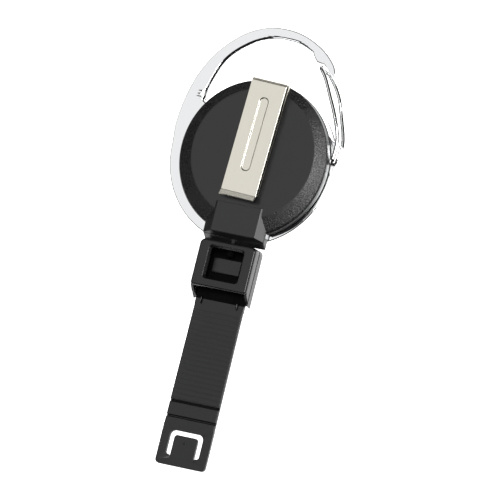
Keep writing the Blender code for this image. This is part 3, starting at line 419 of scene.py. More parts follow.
def rear_shell():
    """Rear shell: a profile turned about z whose circles slide towards the arch as they rise to the flat
    back."""
    slope = np.arctan2(BACK_Z - RIM_Z, CASE_R - BACK_R)
    soft = 1.6
    crest = [[BACK_R - soft * np.tan(slope / 2.0) + soft * np.sin(a), BACK_Z - soft * (1.0 - np.cos(a))]
             for a in np.linspace(0.0, slope, 6)]
    rim = 0.4
    rim_x = CASE_R - rim
    rim_z = RIM_Z - 0.02 - rim * 0.77
    edge = [[rim_x + rim * np.sin(a), rim_z + rim * np.cos(a)] for a in np.linspace(slope, PI / 2.0, 9)]
    outer = [[BORE_R, BACK_Z], [1.6, BACK_Z], [6.0, BACK_Z], [11.0, BACK_Z], [14.2, BACK_Z]] + crest + edge
    outer += [[CASE_R, LID_Z + 0.25], [CASE_R - 0.04, LID_Z + 0.08], [CASE_R - 0.15, LID_Z]]
    inner = [[16.0, LID_Z], [16.0, 7.0], [14.5, 7.8], [BORE_R, 7.8]]
    profile = np.array(outer + inner)
    shift = BACK_SHIFT * np.clip((profile[:, 1] - rim_z) / (BACK_Z - rim_z), 0.0, 1.0)
    shift = shift * np.clip((profile[:, 0] - BORE_R) / 5.0, 0.0, 1.0)
    shift[-4:] = [0.0, 0.0, 0.5, 0.0]
    return turned(profile, True, shift)


SHELL = piece("rear_shell", rear_shell(), SATIN_ABS, "case", ["rear_cover"], angle=30.0)
SHELL.data.materials.append(SPARK_ABS)
height = np.array([face.center.z for face in SHELL.data.polygons]) / MM
reach = np.array([np.hypot(face.center.x, face.center.y) for face in SHELL.data.polygons]) / MM
# the texture is on the bevel: under the flat back, over the side wall, and outside a cone round the inside
inside_cone = reach <= 16.5 - (height - TEXTURE_FOOT) * 3.0
on_bevel = (height < BACK_Z - 0.03) & (height > TEXTURE_FOOT) & (reach > 13.0) & ~inside_cone
SHELL.data.polygons.foreach_set("material_index", on_bevel.astype(np.int32))


def outlet_nose():
    """Outlet nose: a six-sided section in x and z with rounded corners, carried along y. Its end face leans
    out towards its foot and closes in to the round cord outlet."""
    half_top, half_foot, shoulder = 5.45, 7.6, 8.0
    start, end, edge, soft = -11.0, -18.1, 0.3, 0.12
    outlet_z, outlet_r = 7.2, 0.65
    lean = (end - NOSE_FOOT_Y) / (NOSE_Z - LID_Z)
    section = rounded([
        (half_foot, LID_Z), (half_foot, shoulder), (half_top, NOSE_Z), (-half_top, NOSE_Z),
        (-half_foot, shoulder), (-half_foot, LID_Z)], [0.1, 0.25, 0.35, 0.35, 0.25, 0.1], 6)

    def ring(flat, y):
        """Loop of a section, with its place along the nose, one number or one for each point."""
        return np.column_stack((flat[:, 0], np.broadcast_to(y, len(flat)), flat[:, 1]))

    def end_face(flat, step=0.0):
        """Place along the nose of a section on its end face, which leans with height, and a step past it."""
        return end + step - (NOSE_Z - flat[:, 1]) * lean

    rows = []
    for a in np.linspace(0.0, PI / 2.0, 4):
        rows.append(ring(inset(section, soft * (1.0 - np.sin(a))), start + soft * np.cos(a) - soft))
    rows.append(ring(section, -15.0))
    leaning = end_face(section)
    for a in np.linspace(0.0, PI / 2.0, 6):
        flat = inset(section, edge * (1.0 - np.cos(a)))
        rows.append(ring(flat, leaning + edge * (1.0 - np.sin(a))))
    centre = np.array((0.0, outlet_z))
    angle = np.arctan2(section[:, 1] - outlet_z, section[:, 0])
    circle = centre + np.column_stack((np.cos(angle), np.sin(angle))) * outlet_r
    wide = centre + (circle - centre) * 1.25
    rows.append(ring(wide, end_face(wide)))
    rows.append(ring(centre + (circle - centre) * 1.07, end_face(circle, 0.06)))
    rows.append(ring(circle, end_face(circle, 0.2)))
    rows.append(ring(circle, -16.5))
    return loft(rows)


piece("outlet_nose", outlet_nose(), SATIN_ABS, "case", (), angle=28.0)


def front_shell():
    """Front shell: a dish turned about z, with a rounded outer rim, a step inside the frame's ring and a seat
    for the label."""
    front, label_r, recess, floor = low("front_cover")[2], 14.0, 1.2, 2.0
    flange, top, body_r = 2.6, high("front_cover")[2], 17.2
    profile = rounded([
        (16.0, floor), (16.0, top), (body_r, top), (body_r, flange), (CASE_R, flange), (CASE_R, front),
        (label_r + 0.3, front), (label_r + 0.3, recess), (2.0, recess), (2.0, floor)],
        [0.3, 0.08, 0.15, 0.05, 0.15, 1.1, 0.12, 0.05, 0.01, 0.01], 7)
    return turned(profile, True)


piece("front_shell", front_shell(), SATIN_ABS, "case", ["front_cover"], angle=30.0)
shell_centre = turned([(0.02, 1.2), (2.0, 1.2), (2.0, 2.0), (0.02, 2.0)], False, 0.0, 48)
piece("front_shell_centre", shell_centre, SATIN_ABS, "case", ())


def label_disc():
    """Label: a flat disc with a rounded rim and a shallow ring pressed near its edge."""
    r, t = high("front_insert")[0], high("front_insert")[2]
    rim = [[r - 0.25 + 0.25 * np.sin(a), 0.25 - 0.25 * np.cos(a)] for a in np.linspace(0.0, PI / 2.0, 7)]
    ring = [[r - 1.35 + 0.25 * np.cos(a), 0.07 * np.sin(a)] for a in np.linspace(PI, 0.0, 9)]
    return turned([[0.05, 0.0], [6.0, 0.0], [11.5, 0.0]] + ring + rim + [[r, t], [0.05, t]], False)


piece("label_disc", label_disc(), LABEL, "case", ["front_insert"], angle=30.0)


# ---------------------------------------------------------------- carabiner frame and gate
FRAME_LOW = low("carabiner_frame")[2]
FRAME_TOP = high("carabiner_frame")[2]
PIVOT = np.array((18.6, 3.0))              # the gate's pin
CROSSBAR = np.array((10.1, 23.7))          # the gate's far end, in its seat
WIRE_R = 0.525
PIN_ROOM = 0.3                             # clearance round the pin, and between wire and frame
ARM_LOW = 4.3                              # lower face of the frame where the arm is thin
ARCH_SWELL = 0.45                          # how far the arch's inner side stands into the opening
LEG_BOW = 0.6                              # how far the far leg bows out


def frame_outline():
    """Outer edge of the frame and, for each of its points, how much that edge is rounded and how flat its
    chamfer is. The inner side of the arch swells towards the opening, square to its own line."""
    px, py = PIVOT
    cx, cy = CROSSBAR
    outer = spline([
        (14.0, 22.5), (12.7, 25.0), (9.4, 27.9), (4.5, 30.2), (-0.5, 31.0), (-5.5, 30.4), (-10.9, 27.8),
        (-16.0, 22.8), (-19.3, 17.0), (-21.0, 11.2), (-21.7, 6.0), (-21.65, 3.0), (-21.4, 0.45)], 8)
    ring = arc((-1.2, 0.45), 20.2, 180.0, 360.0, 110)[1:]
    arm = spline([
        ring[-1], (px + 0.9, py - 1.0), (px + 1.3, py + 0.6), (px + 1.2, py + 2.5), (px + 0.5, py + 3.9),
        (px - 0.6, py + 4.4), (px - 1.6, py + 4.8)], 6)[1:]
    bezel = arc((0.0, 0.0), 18.15, 29.0, 145.0, 80)
    inner = spline([
        (-16.2, 11.3), (-16.5, 12.4), (-16.4, 14.1), (-15.4, 17.5), (-13.9, 21.1), (-11.3, 24.2),
        (-7.3, 27.1), (-3.2, 28.6), (0.5, 28.8), (3.5, 28.3), (7.0, 26.7)], 8)
    heading = np.gradient(inner, axis=0)
    heading /= np.linalg.norm(heading, axis=1)[:, None]
    rise, fall = np.linspace(0.0, 12.0, len(inner)), np.linspace(6.0, 0.0, len(inner))
    swell = ARCH_SWELL * np.clip(np.minimum(rise, fall), 0.0, 1.0)
    inner = inner + swell[:, None] * np.column_stack((heading[:, 1], -heading[:, 0]))
    seat = WIRE_R + 0.35
    tip = [(cx + 2.7, cy - 1.3), (cx + 3.4, cy - 1.7)]
    nose = np.vstack(([(7.6, 25.7), (8.6, 24.7)], arc((cx, cy), seat, 115.0, 50.0, 8), tip))
    parts = (outer, ring, arm, bezel, inner, nose)
    widths = (0.3, 0.35, 0.3, 0.12, 0.62, 0.25)
    edge = np.concatenate([np.full(len(part), width) for part, width in zip(parts, widths)])
    flat = np.concatenate([np.full(len(part), 0.65 if part is inner else 0.0) for part in parts])
    kernel = np.ones(9) / 9.0
    edge, flat = (np.convolve(np.concatenate((row[-4:], row, row[:4])), kernel, mode="valid")
                  for row in (edge, flat))
    return np.vstack(parts), edge, flat


def carabiner():
    """Cast frame: the outline as a plate with rounded edges, a round hole for the case and one for the
    gate's pin."""
    outline, edge, flat = frame_outline()
    case_hole = arc((0.0, 0.0), 17.5, 360.0, 0.0, ROUND)[:-1]
    pin_hole = arc(PIVOT, WIRE_R + PIN_ROOM, 360.0, 0.0, 24)[:-1]
    surface = plate([outline, case_hole, pin_hole], FRAME_LOW, FRAME_TOP, [edge, 0.12, 0.12], 5, flat)
    return piece("carabiner", surface, CHROME, "case", ["carabiner_frame"], angle=40.0,
                 weighted=False)


FRAME = carabiner()


def relieve(item, corner_low, corner_high):
    """Cut a block away from a piece and write the result into its mesh."""
    mesh = bpy.data.meshes.new("relief")
    tool = bpy.data.objects.new("relief", mesh)
    shape = bmesh.new()
    bmesh.ops.create_cube(shape, size=1.0)
    size = (Vector(corner_high) - Vector(corner_low)) * MM
    middle = (Vector(corner_high) + Vector(corner_low)) * MM / 2.0
    bmesh.ops.transform(
        shape, matrix=Matrix.Translation(middle) @ Matrix.Diagonal((*size, 1.0)), verts=shape.verts)
    shape.to_mesh(mesh)
    shape.free()
    bpy.context.scene.collection.objects.link(tool)
    cut = item.modifiers.new("relief", 'BOOLEAN')
    cut.operation = 'DIFFERENCE'
    cut.object = tool
    cut.solver = 'EXACT'
    graph = bpy.context.evaluated_depsgraph_get()
    made = bpy.data.meshes.new_from_object(item.evaluated_get(graph))
    item.modifiers.remove(cut)
    item.data = made
    made.shade_smooth()
    made.set_sharp_from_angle(angle=np.radians(40.0))
    bpy.data.objects.remove(tool, do_unlink=True)


# the arm is thin where the gate's pin goes through, and the far leg passes under it
relieve(FRAME, (16.0, 1.3, FRAME_LOW - 1.0), (21.6, 9.0, ARM_LOW))
# painted shade: the faces on the wall of the pin's hole get the near-black metal in place of chrome
FRAME.data.materials.append(PIN_HOLE_SHADE)
in_hole = [np.hypot(face.center.x / MM - PIVOT[0], face.center.y / MM - PIVOT[1]) < WIRE_R + 0.32
           and abs(face.normal.z) < 0.5 for face in FRAME.data.polygons]
FRAME.data.polygons.foreach_set("material_index", np.array(in_hole, np.int32))
FRAME.modifiers.new("face_weighted", 'WEIGHTED_NORMAL').keep_sharp = True


def gate_path():
    """The wire's middle line: near pin and leg, crossbar, far leg and pin."""
    near_z, far_z = FRAME_TOP + PIN_ROOM + WIRE_R, FRAME_LOW - PIN_ROOM - WIRE_R
    far_pivot_z = ARM_LOW - PIN_ROOM - WIRE_R
    px, py = PIVOT
    cx, cy = CROSSBAR
    plan = np.array([
        (18.68, 5.4), (18.6, 7.7), (17.9, 10.1), (16.9, 12.45), (15.75, 14.8), (14.4, 17.2), (13.1, 19.6),
        (11.9, 21.6), (10.9, 22.85)])
    share = np.clip((plan[:, 1] - py) / (13.0 - py), 0.0, 1.0)
    middle = 5.0
    near_pin = [(px, py, middle + 0.25), (px, py, (middle + near_z) / 2.0), (px + 0.03, py + 0.4, near_z)]
    far_pin = [(px, py, middle - 0.25), (px, py, (middle + far_pivot_z) / 2.0),
               (px + 0.03, py + 0.4, far_pivot_z)]
    near = np.column_stack((plan, np.full(len(plan), near_z)))
    bow = LEG_BOW * np.exp(-((plan[:, 1] - 18.0) / 3.2) ** 2)
    far_height = far_pivot_z + (far_z - far_pivot_z) * share
    far = np.column_stack((plan[:, 0] + bow, plan[:, 1] + bow * 0.5, far_height))
    bar = [(cx + 0.25, cy - 0.3, near_z - 0.245), (cx, cy, near_z - 0.91), (cx, cy, far_z + 0.91),
           (cx + 0.25, cy - 0.3, far_z + 0.245)]
    return spline(np.vstack((near_pin, near, bar, far[::-1], far_pin[::-1])), 8)


piece("wire_gate", tube(gate_path(), WIRE_R, 20, (0.86, 0.5, 0.0)), WIRE, "gate", ["gate_wire"],
      angle=50.0, weighted=False)


# ---------------------------------------------------------------- belt clip
CLIP_TURN = np.radians(-2.6)
CLIP_HALF = 4.45
STRIP = 0.4
BEND_Y, BEND_Z, BEND_R = 17.1, 10.05, 0.75
CLIP_BASE_Z = 9.3
CHANNEL_HALF, CHANNEL_DEPTH = 1.05, 0.2    # the pressed channel in the outer leaf
CHANNEL_START, CHANNEL_END = -3.4, 13.75


def clip_path():
    """Side view of the strip's middle line as (y, z): inner leaf, half-circle bend, outer leaf that comes
    down by 0.5 over 25.7, a small crease, and the lip that rises again."""
    leaf = np.column_stack((np.linspace(-8.4, BEND_Y, 24), np.full(24, CLIP_BASE_Z)))
    bend = arc((BEND_Y, BEND_Z), BEND_R, -90.0, 90.0, 24)[1:]
    drop = 0.5 / 25.7
    # closer steps at both ends of the channel
    fine = np.concatenate((
        np.arange(BEND_Y - 0.4, 14.4, -0.4), np.arange(14.4, 12.2, -0.05), np.arange(12.2, -1.8, -0.5),
        np.arange(-1.8, -4.0, -0.05), np.arange(-4.0, -8.2, -0.4)))
    arm = np.column_stack((fine, BEND_Z + BEND_R - (BEND_Y - fine) * drop))
    end = np.array((-8.6, BEND_Z + BEND_R - (BEND_Y + 8.6) * drop))
    lip = end + np.array([
        (-0.10, 0.01), (-0.2, 0.05), (-0.32, 0.11), (-0.7, 0.30), (-1.0, 0.45), (-1.2, 0.55)])
    return np.vstack((leaf, bend, arm, [end + (0.12, 0.0)], lip))


def clip_strip():
    """Belt clip: a section across x with rounded long edges, carried along the side path. A pressed channel
    lowers the outer face where a point is inside a slot shape: depth = smooth step of the distance inside."""
    path = clip_path()
    along = np.gradient(path, axis=0)
    along /= np.linalg.norm(along, axis=1)[:, None]
    normal = np.column_stack((along[:, 1], -along[:, 0]))
    half = STRIP / 2.0
    rim = 0.14
    top_x = np.concatenate((
        [-CLIP_HALF + rim], np.linspace(-4.1, -1.5, 6), np.linspace(-1.4, -0.6, 17),
        np.linspace(-0.5, 0.5, 5), np.linspace(0.6, 1.4, 17), np.linspace(1.5, 4.1, 6), [CLIP_HALF - rim]))
    turn = np.linspace(0.0, PI / 2.0, 5)[1:]
    right = np.column_stack((CLIP_HALF - rim + rim * np.sin(turn), half - rim + rim * np.cos(turn)))
    upper = np.vstack((np.column_stack((top_x, np.full(len(top_x), half))), right))
    section = np.vstack((upper, -upper))
    x, n = section[None, :, 0], section[None, :, 1]
    y = path[:, :1] + normal[:, :1] * n
    z = path[:, 1:] + normal[:, 1:] * n
    on_arm = path[:, 1:] > BEND_Z
    middle = np.clip(path[:, :1], CHANNEL_START + CHANNEL_HALF, CHANNEL_END - CHANNEL_HALF)
    outside = np.hypot(x, path[:, :1] - middle) - CHANNEL_HALF
    press = np.clip(-outside / 0.22 + 0.5, 0.0, 1.0)
    press = press * press * (3.0 - 2.0 * press) * np.where(on_arm, 1.0, 0.0)
    z = z - CHANNEL_DEPTH * press
    x = np.broadcast_to(x, y.shape)
    c, s = np.cos(CLIP_TURN), np.sin(CLIP_TURN)
    return loft(np.stack((x * c - y * s, x * s + y * c, z), -1))


CLIP = piece("belt_clip", clip_strip(), NICKEL, None, ["clip_base", "clip_arm"], angle=40.0,
             weighted=False)
# the bend turns from one leaf to the other between two heights, square to the outer leaf's slope
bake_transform(CLIP)


def rivet():
    """Rivet: a profile turned about z with a low domed head on both sides."""
    base, top = low("clip_rivet")[2], high("clip_rivet")[2]
    head = 2.0
    foot = [[head * np.sin(a), base + 0.2 - 0.2 * np.cos(a)] for a in np.linspace(0.05, PI / 2.0, 7)]
    dome = [[head * np.cos(a), top - 0.17 + 0.17 * np.sin(a)] for a in np.linspace(0.0, PI / 2.0 - 0.05, 7)]
    return turned(foot + [[head, base + 0.4], [1.0, base + 0.4], [1.0, top - 0.17]] + dome, False, 0.0, 64)


piece("rivet", rivet(), NICKEL, "case", ["clip_rivet"], angle=40.0)


# ---------------------------------------------------------------- catch
CATCH_Y0, CATCH_Y1 = high("catch_cover")[1], -31.0
CATCH_HALF = high("catch_cover")[0]
CATCH_TOP = high("catch_cover")[2]
CATCH_LOW = low("catch_base")[2]
SPLIT_LOW, SPLIT_HIGH = high("catch_base")[2], low("catch_cover")[2]
LID_LOW = CATCH_TOP - 0.8                  # under side of the catch's face
CATCH_CORNER = 1.2
CATCH_WALL = 0.62
CHEEK_TURN = 5.95                          # above this height the tray's cheeks come in


def rectangle(half, y_top, y_end, radius_top, radius_end, steps=7):
    """Rounded rectangle, anticlockwise."""
    return rounded([(half, y_top), (-half, y_top), (-half, y_end), (half, y_end)],
                   [radius_top, radius_top, radius_end, radius_end], steps)


def catch_front():
    """Front of the catch: rounded rectangles that go up the outside, over the face, down the sloping border
    of the window and back underneath, closed as a ring."""
    outer = rectangle(CATCH_HALF, CATCH_Y0, CATCH_Y1, CATCH_CORNER, 0.7)
    edge = 0.5
    rows = [np.column_stack((outer, np.full(len(outer), LID_LOW)))]
    for a in np.linspace(0.0, PI / 2.0, 7):
        height = np.full(len(outer), CATCH_TOP - edge * (1.0 - np.sin(a)))
        rows.append(np.column_stack((inset(outer, edge * (1.0 - np.cos(a))), height)))
    lip = rectangle(4.5, -21.15, -29.2, 0.9, 0.9)
    window = rectangle(3.9, -21.7, -28.7, 0.6, 0.6)
    border = ((0.0, 0.0), (0.06, 0.005), (0.14, 0.03), (0.25, 0.09), (0.85, 0.48), (0.94, 0.54), (1.0, 0.62))
    for share, drop in border:
        flat = lip + (window - lip) * share
        rows.append(np.column_stack((flat, np.full(len(flat), CATCH_TOP - drop))))
    rows.append(np.column_stack((window, np.full(len(window), LID_LOW))))
    return loft(rows, True)


def wall(section, mouth, half, y_top, radius):
    """Wall round three sides: a section of (distance inwards, height) carried along left side, end and right
    side. On the sides each height runs on to its own end, mouth(height)."""
    sides = np.linspace(1.0, 0.0, 5)
    corner = arc((-half + radius, y_top - radius), radius, 180.0, 90.0, 8)
    left = np.column_stack((np.full(5, -half), np.full(5, y_top - radius)))
    plan = np.vstack((left, corner[1:], corner[::-1] * (-1.0, 1.0), left[1:] * (-1.0, 1.0)))
    share = np.concatenate((sides, np.zeros(len(corner) - 1 + len(corner)), sides[::-1][1:]))
    angle = np.radians(np.concatenate((np.full(5, 180.0), np.linspace(180.0, 90.0, 9)[1:],
                                       np.linspace(90.0, 0.0, 9), np.full(4, 0.0))))
    normal = -np.column_stack((np.cos(angle), np.sin(angle)))
    section = np.asarray(section, float)
    depth, height = section[None, :, 0], section[None, :, 1]
    x = plan[:, :1] + normal[:, :1] * depth
    y = plan[:, 1:] + normal[:, 1:] * depth
    y = y + share[:, None] * (mouth(height) - (y_top - radius))
    return loft(np.stack((x, y, np.broadcast_to(height, x.shape)), -1))


def upper_mouth(z):
    """How far the cover's side walls run, by height."""
    return CATCH_Y1 - 1.3 * np.clip((LID_LOW - z) / (LID_LOW - SPLIT_HIGH), 0.0, 1.0)


def lower_mouth(z):
    """How far the tray's cheeks run, by height: they come in above the strap and round off below it."""
    above = np.clip((z - CHEEK_TURN) / (SPLIT_LOW - CHEEK_TURN), 0.0, 1.0)
    below = np.clip((5.35 - z) / 0.5, 0.0, 1.0)
    return -33.7 + 1.4 * above ** 1.2 + 0.5 * below ** 2


upper_section = rounded([
    (0.0, SPLIT_HIGH), (0.0, LID_LOW), (CATCH_WALL, LID_LOW), (CATCH_WALL, SPLIT_HIGH)],
    [0.12, 0.001, 0.001, 0.05], 4)
upper_wall = wall(upper_section, upper_mouth, CATCH_HALF, CATCH_Y0, CATCH_CORNER)
piece("catch_lid", joined(catch_front(), upper_wall), LATCH_ABS, "catch", ["catch_cover"],
      edge=0.06, angle=32.0)

lower_section = rounded([
    (0.0, CATCH_LOW), (0.0, SPLIT_LOW), (CATCH_WALL, SPLIT_LOW), (CATCH_WALL, CATCH_LOW)],
    [0.35, 0.12, 0.05, 0.01], 5)
lower_wall = wall(lower_section, lower_mouth, CATCH_HALF, CATCH_Y0, CATCH_CORNER)
piece("catch_tray", lower_wall, LATCH_ABS, "catch", ["catch_base"], edge=0.06, angle=32.0)
tray_plan = rectangle(CATCH_HALF - 0.5, CATCH_Y0 - 0.4, -33.0, 0.8, 0.3)
tray_floor = plate([tray_plan], CATCH_LOW, CATCH_LOW + 0.4, 0.03, 2)
# the tray's floor gets the painted-shade black, so that it looks as dark as the shade inside the catch
piece("catch_floor", tray_floor, SHADED_ABS, "catch", (), angle=32.0)


# ---------------------------------------------------------------- strap
STRAP_TOP = 6.35
STRAP_LOW = 5.55
HINGES = (-36.5, -41.7, -46.9, -52.1, -57.4, -60.95)
CUTS = (-34.9, -39.1, -44.3, -49.5, -54.75, -59.18, -62.6)
LINKS = ("catch", "strap_flex_1", "strap_flex_2", "strap_flex_3", "strap_flex_4", "strap_fold", "strap_tab")
STRAP_EDGE = 0.16
ROOT_HALF = 6.05                           # half width of the strap in the catch
STRAP_FLARE = 0.0061                       # how much that grows for each millimetre past the first hinge
RIB_PITCH, RIB_DEPTH = 1.15, 0.035
GROOVES, GROOVE_DEPTH = (-57.35, -60.85), 0.42


def strap_half(y):
    """Half width of the strap, which widens evenly towards its end."""
    return ROOT_HALF + STRAP_FLARE * (HINGES[0] - y)


def furrow(y):
    """Depth of the pattern across the strap: fine ribs at an even pitch, and two deep folding grooves."""
    phase = np.abs((-36.3 - y) / RIB_PITCH % 1.0 - 0.5) * 2.0
    fine = RIB_DEPTH * np.clip((phase - 0.35) / 0.45, 0.0, 1.0) * ((y < -35.8) & (y > -56.9))
    deep = np.zeros_like(y)
    for middle in GROOVES:
        deep = np.maximum(deep, GROOVE_DEPTH * np.clip(1.25 - np.abs(y - middle) / 0.26, 0.0, 1.0))
    return fine, deep


def strap_strip(start, end):
    """Strap between two cuts: a section across x with rounded sides, carried along y, with its outer face
    lowered by the pattern. The fine ribs fade out near the sides, and the deep grooves run across."""
    y = np.linspace(start, end, int((start - end) / 0.095) + 1)[:, None]
    fine, deep = furrow(y)
    turn = np.linspace(0.0, PI / 2.0, 4)[1:]
    share = np.array((-1.0, -0.955, -0.88, -0.5, 0.0, 0.5, 0.88, 0.955, 1.0))
    ribbed = np.array((0.0, 0.0, 1.0, 1.0, 1.0, 1.0, 1.0, 0.0, 0.0))
    half = strap_half(y)
    flat = half - STRAP_EDGE
    side_x = half - STRAP_EDGE * (1.0 - np.sin(turn))
    side_z = STRAP_EDGE * (1.0 - np.cos(turn))
    top_x = flat * share
    top_z = STRAP_TOP - np.maximum(fine * ribbed, deep)
    right_z = STRAP_TOP - deep - side_z
    x = np.hstack((top_x, side_x, side_x[:, ::-1], top_x[:, ::-1], -side_x, -side_x[:, ::-1]))
    low_z = np.broadcast_to(STRAP_LOW + side_z[::-1], right_z.shape)
    z = np.hstack((top_z, right_z, low_z, np.full(top_x.shape, STRAP_LOW), low_z[:, ::-1], right_z[:, ::-1]))
    return loft(np.stack((x, np.broadcast_to(y, x.shape), z), -1))


def strap_root():
    """Fixed end of the strap as plates whose edges are rounded: the part inside the catch with a raised
    middle, and the part in the mouth together with the pad under the window."""
    body = plate([rectangle(ROOT_HALF, -23.3, -33.4, 0.3, 0.001, 4)], STRAP_LOW, STRAP_TOP, 0.001, 1)
    end = plate([rectangle(ROOT_HALF, -33.4, CUTS[0], 0.001, 0.001, 4)], STRAP_LOW, STRAP_TOP, 0.001, 1)
    pad = plate([rectangle(3.65, -23.6, -27.0, 0.3, 0.3, 4)], 5.9, 7.0, 0.15, 4)
    middle = plate([rectangle(3.3, -27.6, -33.3, 0.3, 0.3, 4)], 5.9, STRAP_TOP + 0.14, 0.08, 3)
    return joined(body, middle), joined(end, pad)


painted_shade_root, shown_root = strap_root()
piece("strap_root_end", shown_root, STRAP_PP, "catch", ["strap_root"], angle=32.0)
# the strap's root inside the catch and its raised middle get the painted-shade black, so they look as dark as
# the shade in the catch
piece("strap_root_inside", painted_shade_root, SHADED_ABS, "catch", (), angle=32.0)


def hook(side):
    """Guide hook: a thin fin with a fully rounded crest, drawn as ellipses that shrink towards its top."""
    centre_x, centre_y, half_x, half_y, foot, top = side * 4.45, -33.6, 0.30, 1.0, 6.2, 7.2
    t = np.linspace(0.0, PI / 2.0, 8)[:, None]
    a = np.linspace(0.0, 2.0 * PI, 24, endpoint=False)[None, :]
    x = centre_x + half_x * np.cos(t) ** 0.6 * np.cos(a)
    y = centre_y + half_y * np.cos(t) ** 0.5 * np.sin(a)
    z = foot + (top - foot) * np.sin(t)
    x, y, z = np.broadcast_arrays(x[:-1], y[:-1], z[:-1])
    return loft(np.stack((x, y, z), -1))


piece("strap_hooks", joined(hook(-1.0), hook(1.0)), LATCH_ABS, "catch", (), angle=60.0)

for number, (before, after) in enumerate(zip(LINKS, LINKS[1:])):
    strip = piece("strap_" + str(number + 1), strap_strip(CUTS[number], CUTS[number + 1]), STRAP_PP, None, (),
                  angle=32.0, weighted=False)
    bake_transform(strip)
    if after != "strap_tab":
        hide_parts(after)


SHARP = 0.0005                # rounding of an edge that is left sharp, where two pieces meet


def strap_end():
    """Free end of the strap: rounded corners, and a slot round the tongue."""
    tip, start = -72.0, CUTS[-1]
    half, wide = strap_half(start), strap_half(tip)
    outline = rounded([(half, start), (-half, start), (-wide, tip), (wide, tip)], [0.001, 0.001, 1.0, 1.0], 8)
    edge = np.where(outline[:, 1] > start - 0.01, 0.0, STRAP_EDGE)
    outer, inner, slot_top, leg_end, crease = 4.12, 2.96, -63.9, -69.5, -70.28
    leg = (outer - inner) / 2.0 * 0.98
    slot = rounded([
        (outer, slot_top), (outer, leg_end), (inner, leg_end), (inner, crease), (-inner, crease),
        (-inner, leg_end), (-outer, leg_end), (-outer, slot_top)],
        [1.3, leg, leg, 0.01, 0.01, leg, leg, 1.3], 8)
    slot_edge = np.where(slot[:, 1] < crease + 0.1, SHARP, 0.08)
    return plate([outline, slot], STRAP_LOW, STRAP_TOP, [edge + SHARP, slot_edge], 4)


piece("strap_end", strap_end(), STRAP_PP, "strap_tab", ["strap_tab"], angle=32.0)


def tongue():
    """Springy tongue inside the slot, with a small raised wedge."""
    outline = rectangle(2.9, -64.9, -70.29, 0.7, 0.01, 6)
    leaf = plate([outline], STRAP_LOW, STRAP_TOP, [np.where(outline[:, 1] < -70.2, SHARP, 0.08)], 3)
    triangle = rounded([(-0.55, -66.75), (0.55, -66.75), (0.0, -66.05)], 0.12, 3)
    wedge = plate([triangle], 6.2, STRAP_TOP + 0.16, 0.06, 2)
    return joined(leaf, wedge)


piece("strap_tongue_leaf", tongue(), STRAP_PP, "tongue", ["strap_tongue"], angle=32.0)


# ---------------------------------------------------------------- cord and works inside
def cord_piece(name, path, radius, body, nodes, sides=12):
    """Cord with its run in millimetres and its turn kept on its points, for the braid."""
    path = np.asarray(path, float)
    surface = tube(path, radius, sides)
    item = piece(name, surface, CORD, body, nodes, angle=60.0, weighted=False)
    run = np.concatenate(([0.0], np.cumsum(np.linalg.norm(np.diff(path, axis=0), axis=1))))
    turn = np.arange(sides) / sides
    values = np.stack(np.broadcast_arrays(run[:, None], turn[None, :], 0.0), -1).reshape(-1, 3)
    layer = item.data.attributes.new("cord_run", 'FLOAT_VECTOR', 'POINT')
    layer.data.foreach_set("vector", values.astype(np.float32).ravel())
    return item


CORD_Z = 7.2                  # height of the cord outside the case
CORD_R = 0.3


def straight(start, end, z, count):
    """Points on a line along y at the cord's height."""
    y = np.linspace(start, end, count)
    return np.column_stack((np.zeros(count), y, np.full(count, z)))


LEAD = cord_piece("cord_lead_out", straight(-17.6, -21.3, CORD_Z, 60), CORD_R, None, ["cord_lead"])
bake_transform(LEAD)


def wound():
    """Wound cord: twelve turns, r growing evenly from the hub outwards, and z swinging once to the other side
    of the groove and back in every two turns."""
    turns, hub, rim, middle, swing = 12.0, 10.2, 13.0, 6.15, 0.27
    t = np.linspace(0.0, turns, int(turns * 64) + 1)
    r = hub + (rim - hub) * t / turns
    z = middle + swing * np.sin(PI * (t + 0.5))
    return np.column_stack((r * np.cos(2.0 * PI * t), r * np.sin(2.0 * PI * t), z))


cord_piece("wound_cord", wound(), 0.27, "reel_spool", ["cord_winding"], 8)
route = spline([
    (8.3, -11.2, 6.0), (6.2, -12.6, 6.1), (4.2, -14.1, 6.3), (2.2, -15.4, 6.62), (0.9, -16.1, 7.1),
    (0.0, -16.8, CORD_Z), (0.0, -17.6, CORD_Z)], 10)
cord_piece("cord_inside", route, CORD_R, "case", ["cord_run"])

# the cord's ferrule gets the near-black painted-shade material, so that it looks as dark as the shade round
# it inside the catch
for name, material in (("spring_arbor", ACETAL), ("spool", ACETAL), ("spool_cover", ACETAL),
                       ("power_spring", BLUED), ("cord_ferrule", SHADED_ABS)):
    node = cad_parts[name]
    node.data.materials.clear()
    node.data.materials.append(material)


# ---------------------------------------------------------------- floor, lights and surroundings
def floor():
    """Pale glowing table top under the reel."""
    mesh = bpy.data.meshes.new("floor")
    half, level = 3.0, -0.4 * MM
    mesh.from_pydata([(x, y, level) for x, y in ((-half, -half), (half, -half), (half, half), (-half, half))],
                     [], [(0, 1, 2, 3)])
    item, tree, shader = skin("pale_table_top", "#f4f4f4", 0.6)
    shader.inputs["Emission Color"].default_value = (1.0, 1.0, 1.0, 1.0)
    shader.inputs["Emission Strength"].default_value = 1.4
    mesh.materials.append(item)
    made = bpy.data.objects.new("floor", mesh)
    bpy.context.scene.collection.objects.link(made)


floor()


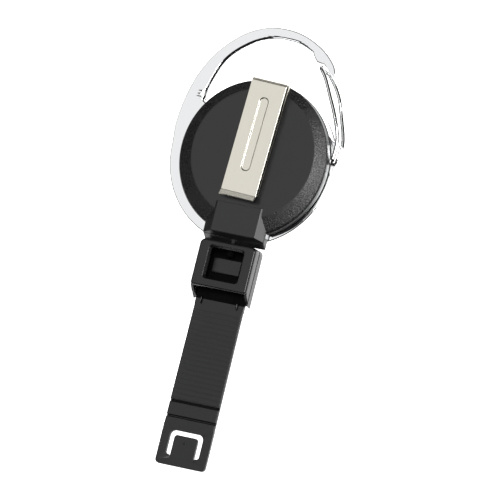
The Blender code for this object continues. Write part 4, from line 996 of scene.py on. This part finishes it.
def studio():
    """Surroundings in Blender's own dark grey, so that every strength here stays dim: least towards the left,
    and a little more in a low band and at the horizon."""
    world = bpy.data.worlds.new("studio")
    bpy.context.scene.world = world
    world.use_nodes = True
    tree = world.node_tree
    sky = tree.nodes["Background"]
    way = add(tree, "ShaderNodeTexCoord").outputs["Generated"]
    lean = add(tree, "ShaderNodeVectorMath", {0: way, 1: (0.75, 0.0, 0.66)}, operation='DOT_PRODUCT')
    share = add(tree, "ShaderNodeMapRange", {
        "Value": lean.outputs["Value"], "From Min": -0.25, "From Max": 0.55, "To Min": 0.09, "To Max": 0.17},
        interpolation_type='SMOOTHSTEP')
    axes = add(tree, "ShaderNodeSeparateXYZ", {0: way})
    low_down = add(tree, "ShaderNodeMapRange", {
        "Value": axes.outputs[2], "From Min": 0.38, "From Max": 0.24, "To Min": 0.0, "To Max": 0.65},
        interpolation_type='SMOOTHSTEP')
    away = add(tree, "ShaderNodeMapRange", {
        "Value": axes.outputs[0], "From Min": -0.8, "From Max": -0.3}, interpolation_type='SMOOTHSTEP')
    band = add(tree, "ShaderNodeMath", {0: low_down.outputs[0], 1: away.outputs[0]}, operation='MULTIPLY')
    horizon = add(tree, "ShaderNodeMapRange", {
        "Value": axes.outputs[2], "From Min": 0.14, "From Max": 0.06, "To Min": 0.0, "To Max": 0.75},
        interpolation_type='SMOOTHSTEP')
    glow = add(tree, "ShaderNodeMath", {0: band.outputs[0], 1: horizon.outputs[0]}, operation='MAXIMUM')
    both = add(tree, "ShaderNodeMath", {0: share.outputs[0], 1: glow.outputs[0]}, operation='ADD')
    tree.links.new(both.outputs[0], sky.inputs["Strength"])


studio()
bpy.context.scene.view_settings.view_transform = 'Standard'

# a panel above the reel's left, seen in every face that lies flat, low strips on three sides that draw lines
# of light on rounded edges, and a bright panel overhead to the right
softbox("panel", (-0.41, 0.08, 0.91), 1.0, 0.68, 0.64, 1.28)
softbox("right", (0.87, 0.05, 0.49), 1.0, 0.50, 0.09, 0.55)
softbox("front", (-0.38, -0.88, 0.28), 1.0, 0.50, 0.12, 0.55)
softbox("behind", (-0.42, 0.74, 0.52), 1.0, 0.40, 0.22, 0.22)
softbox("overhead", (0.25, 0.11, 0.96), 1.1, 0.62, 0.38, 8.4)
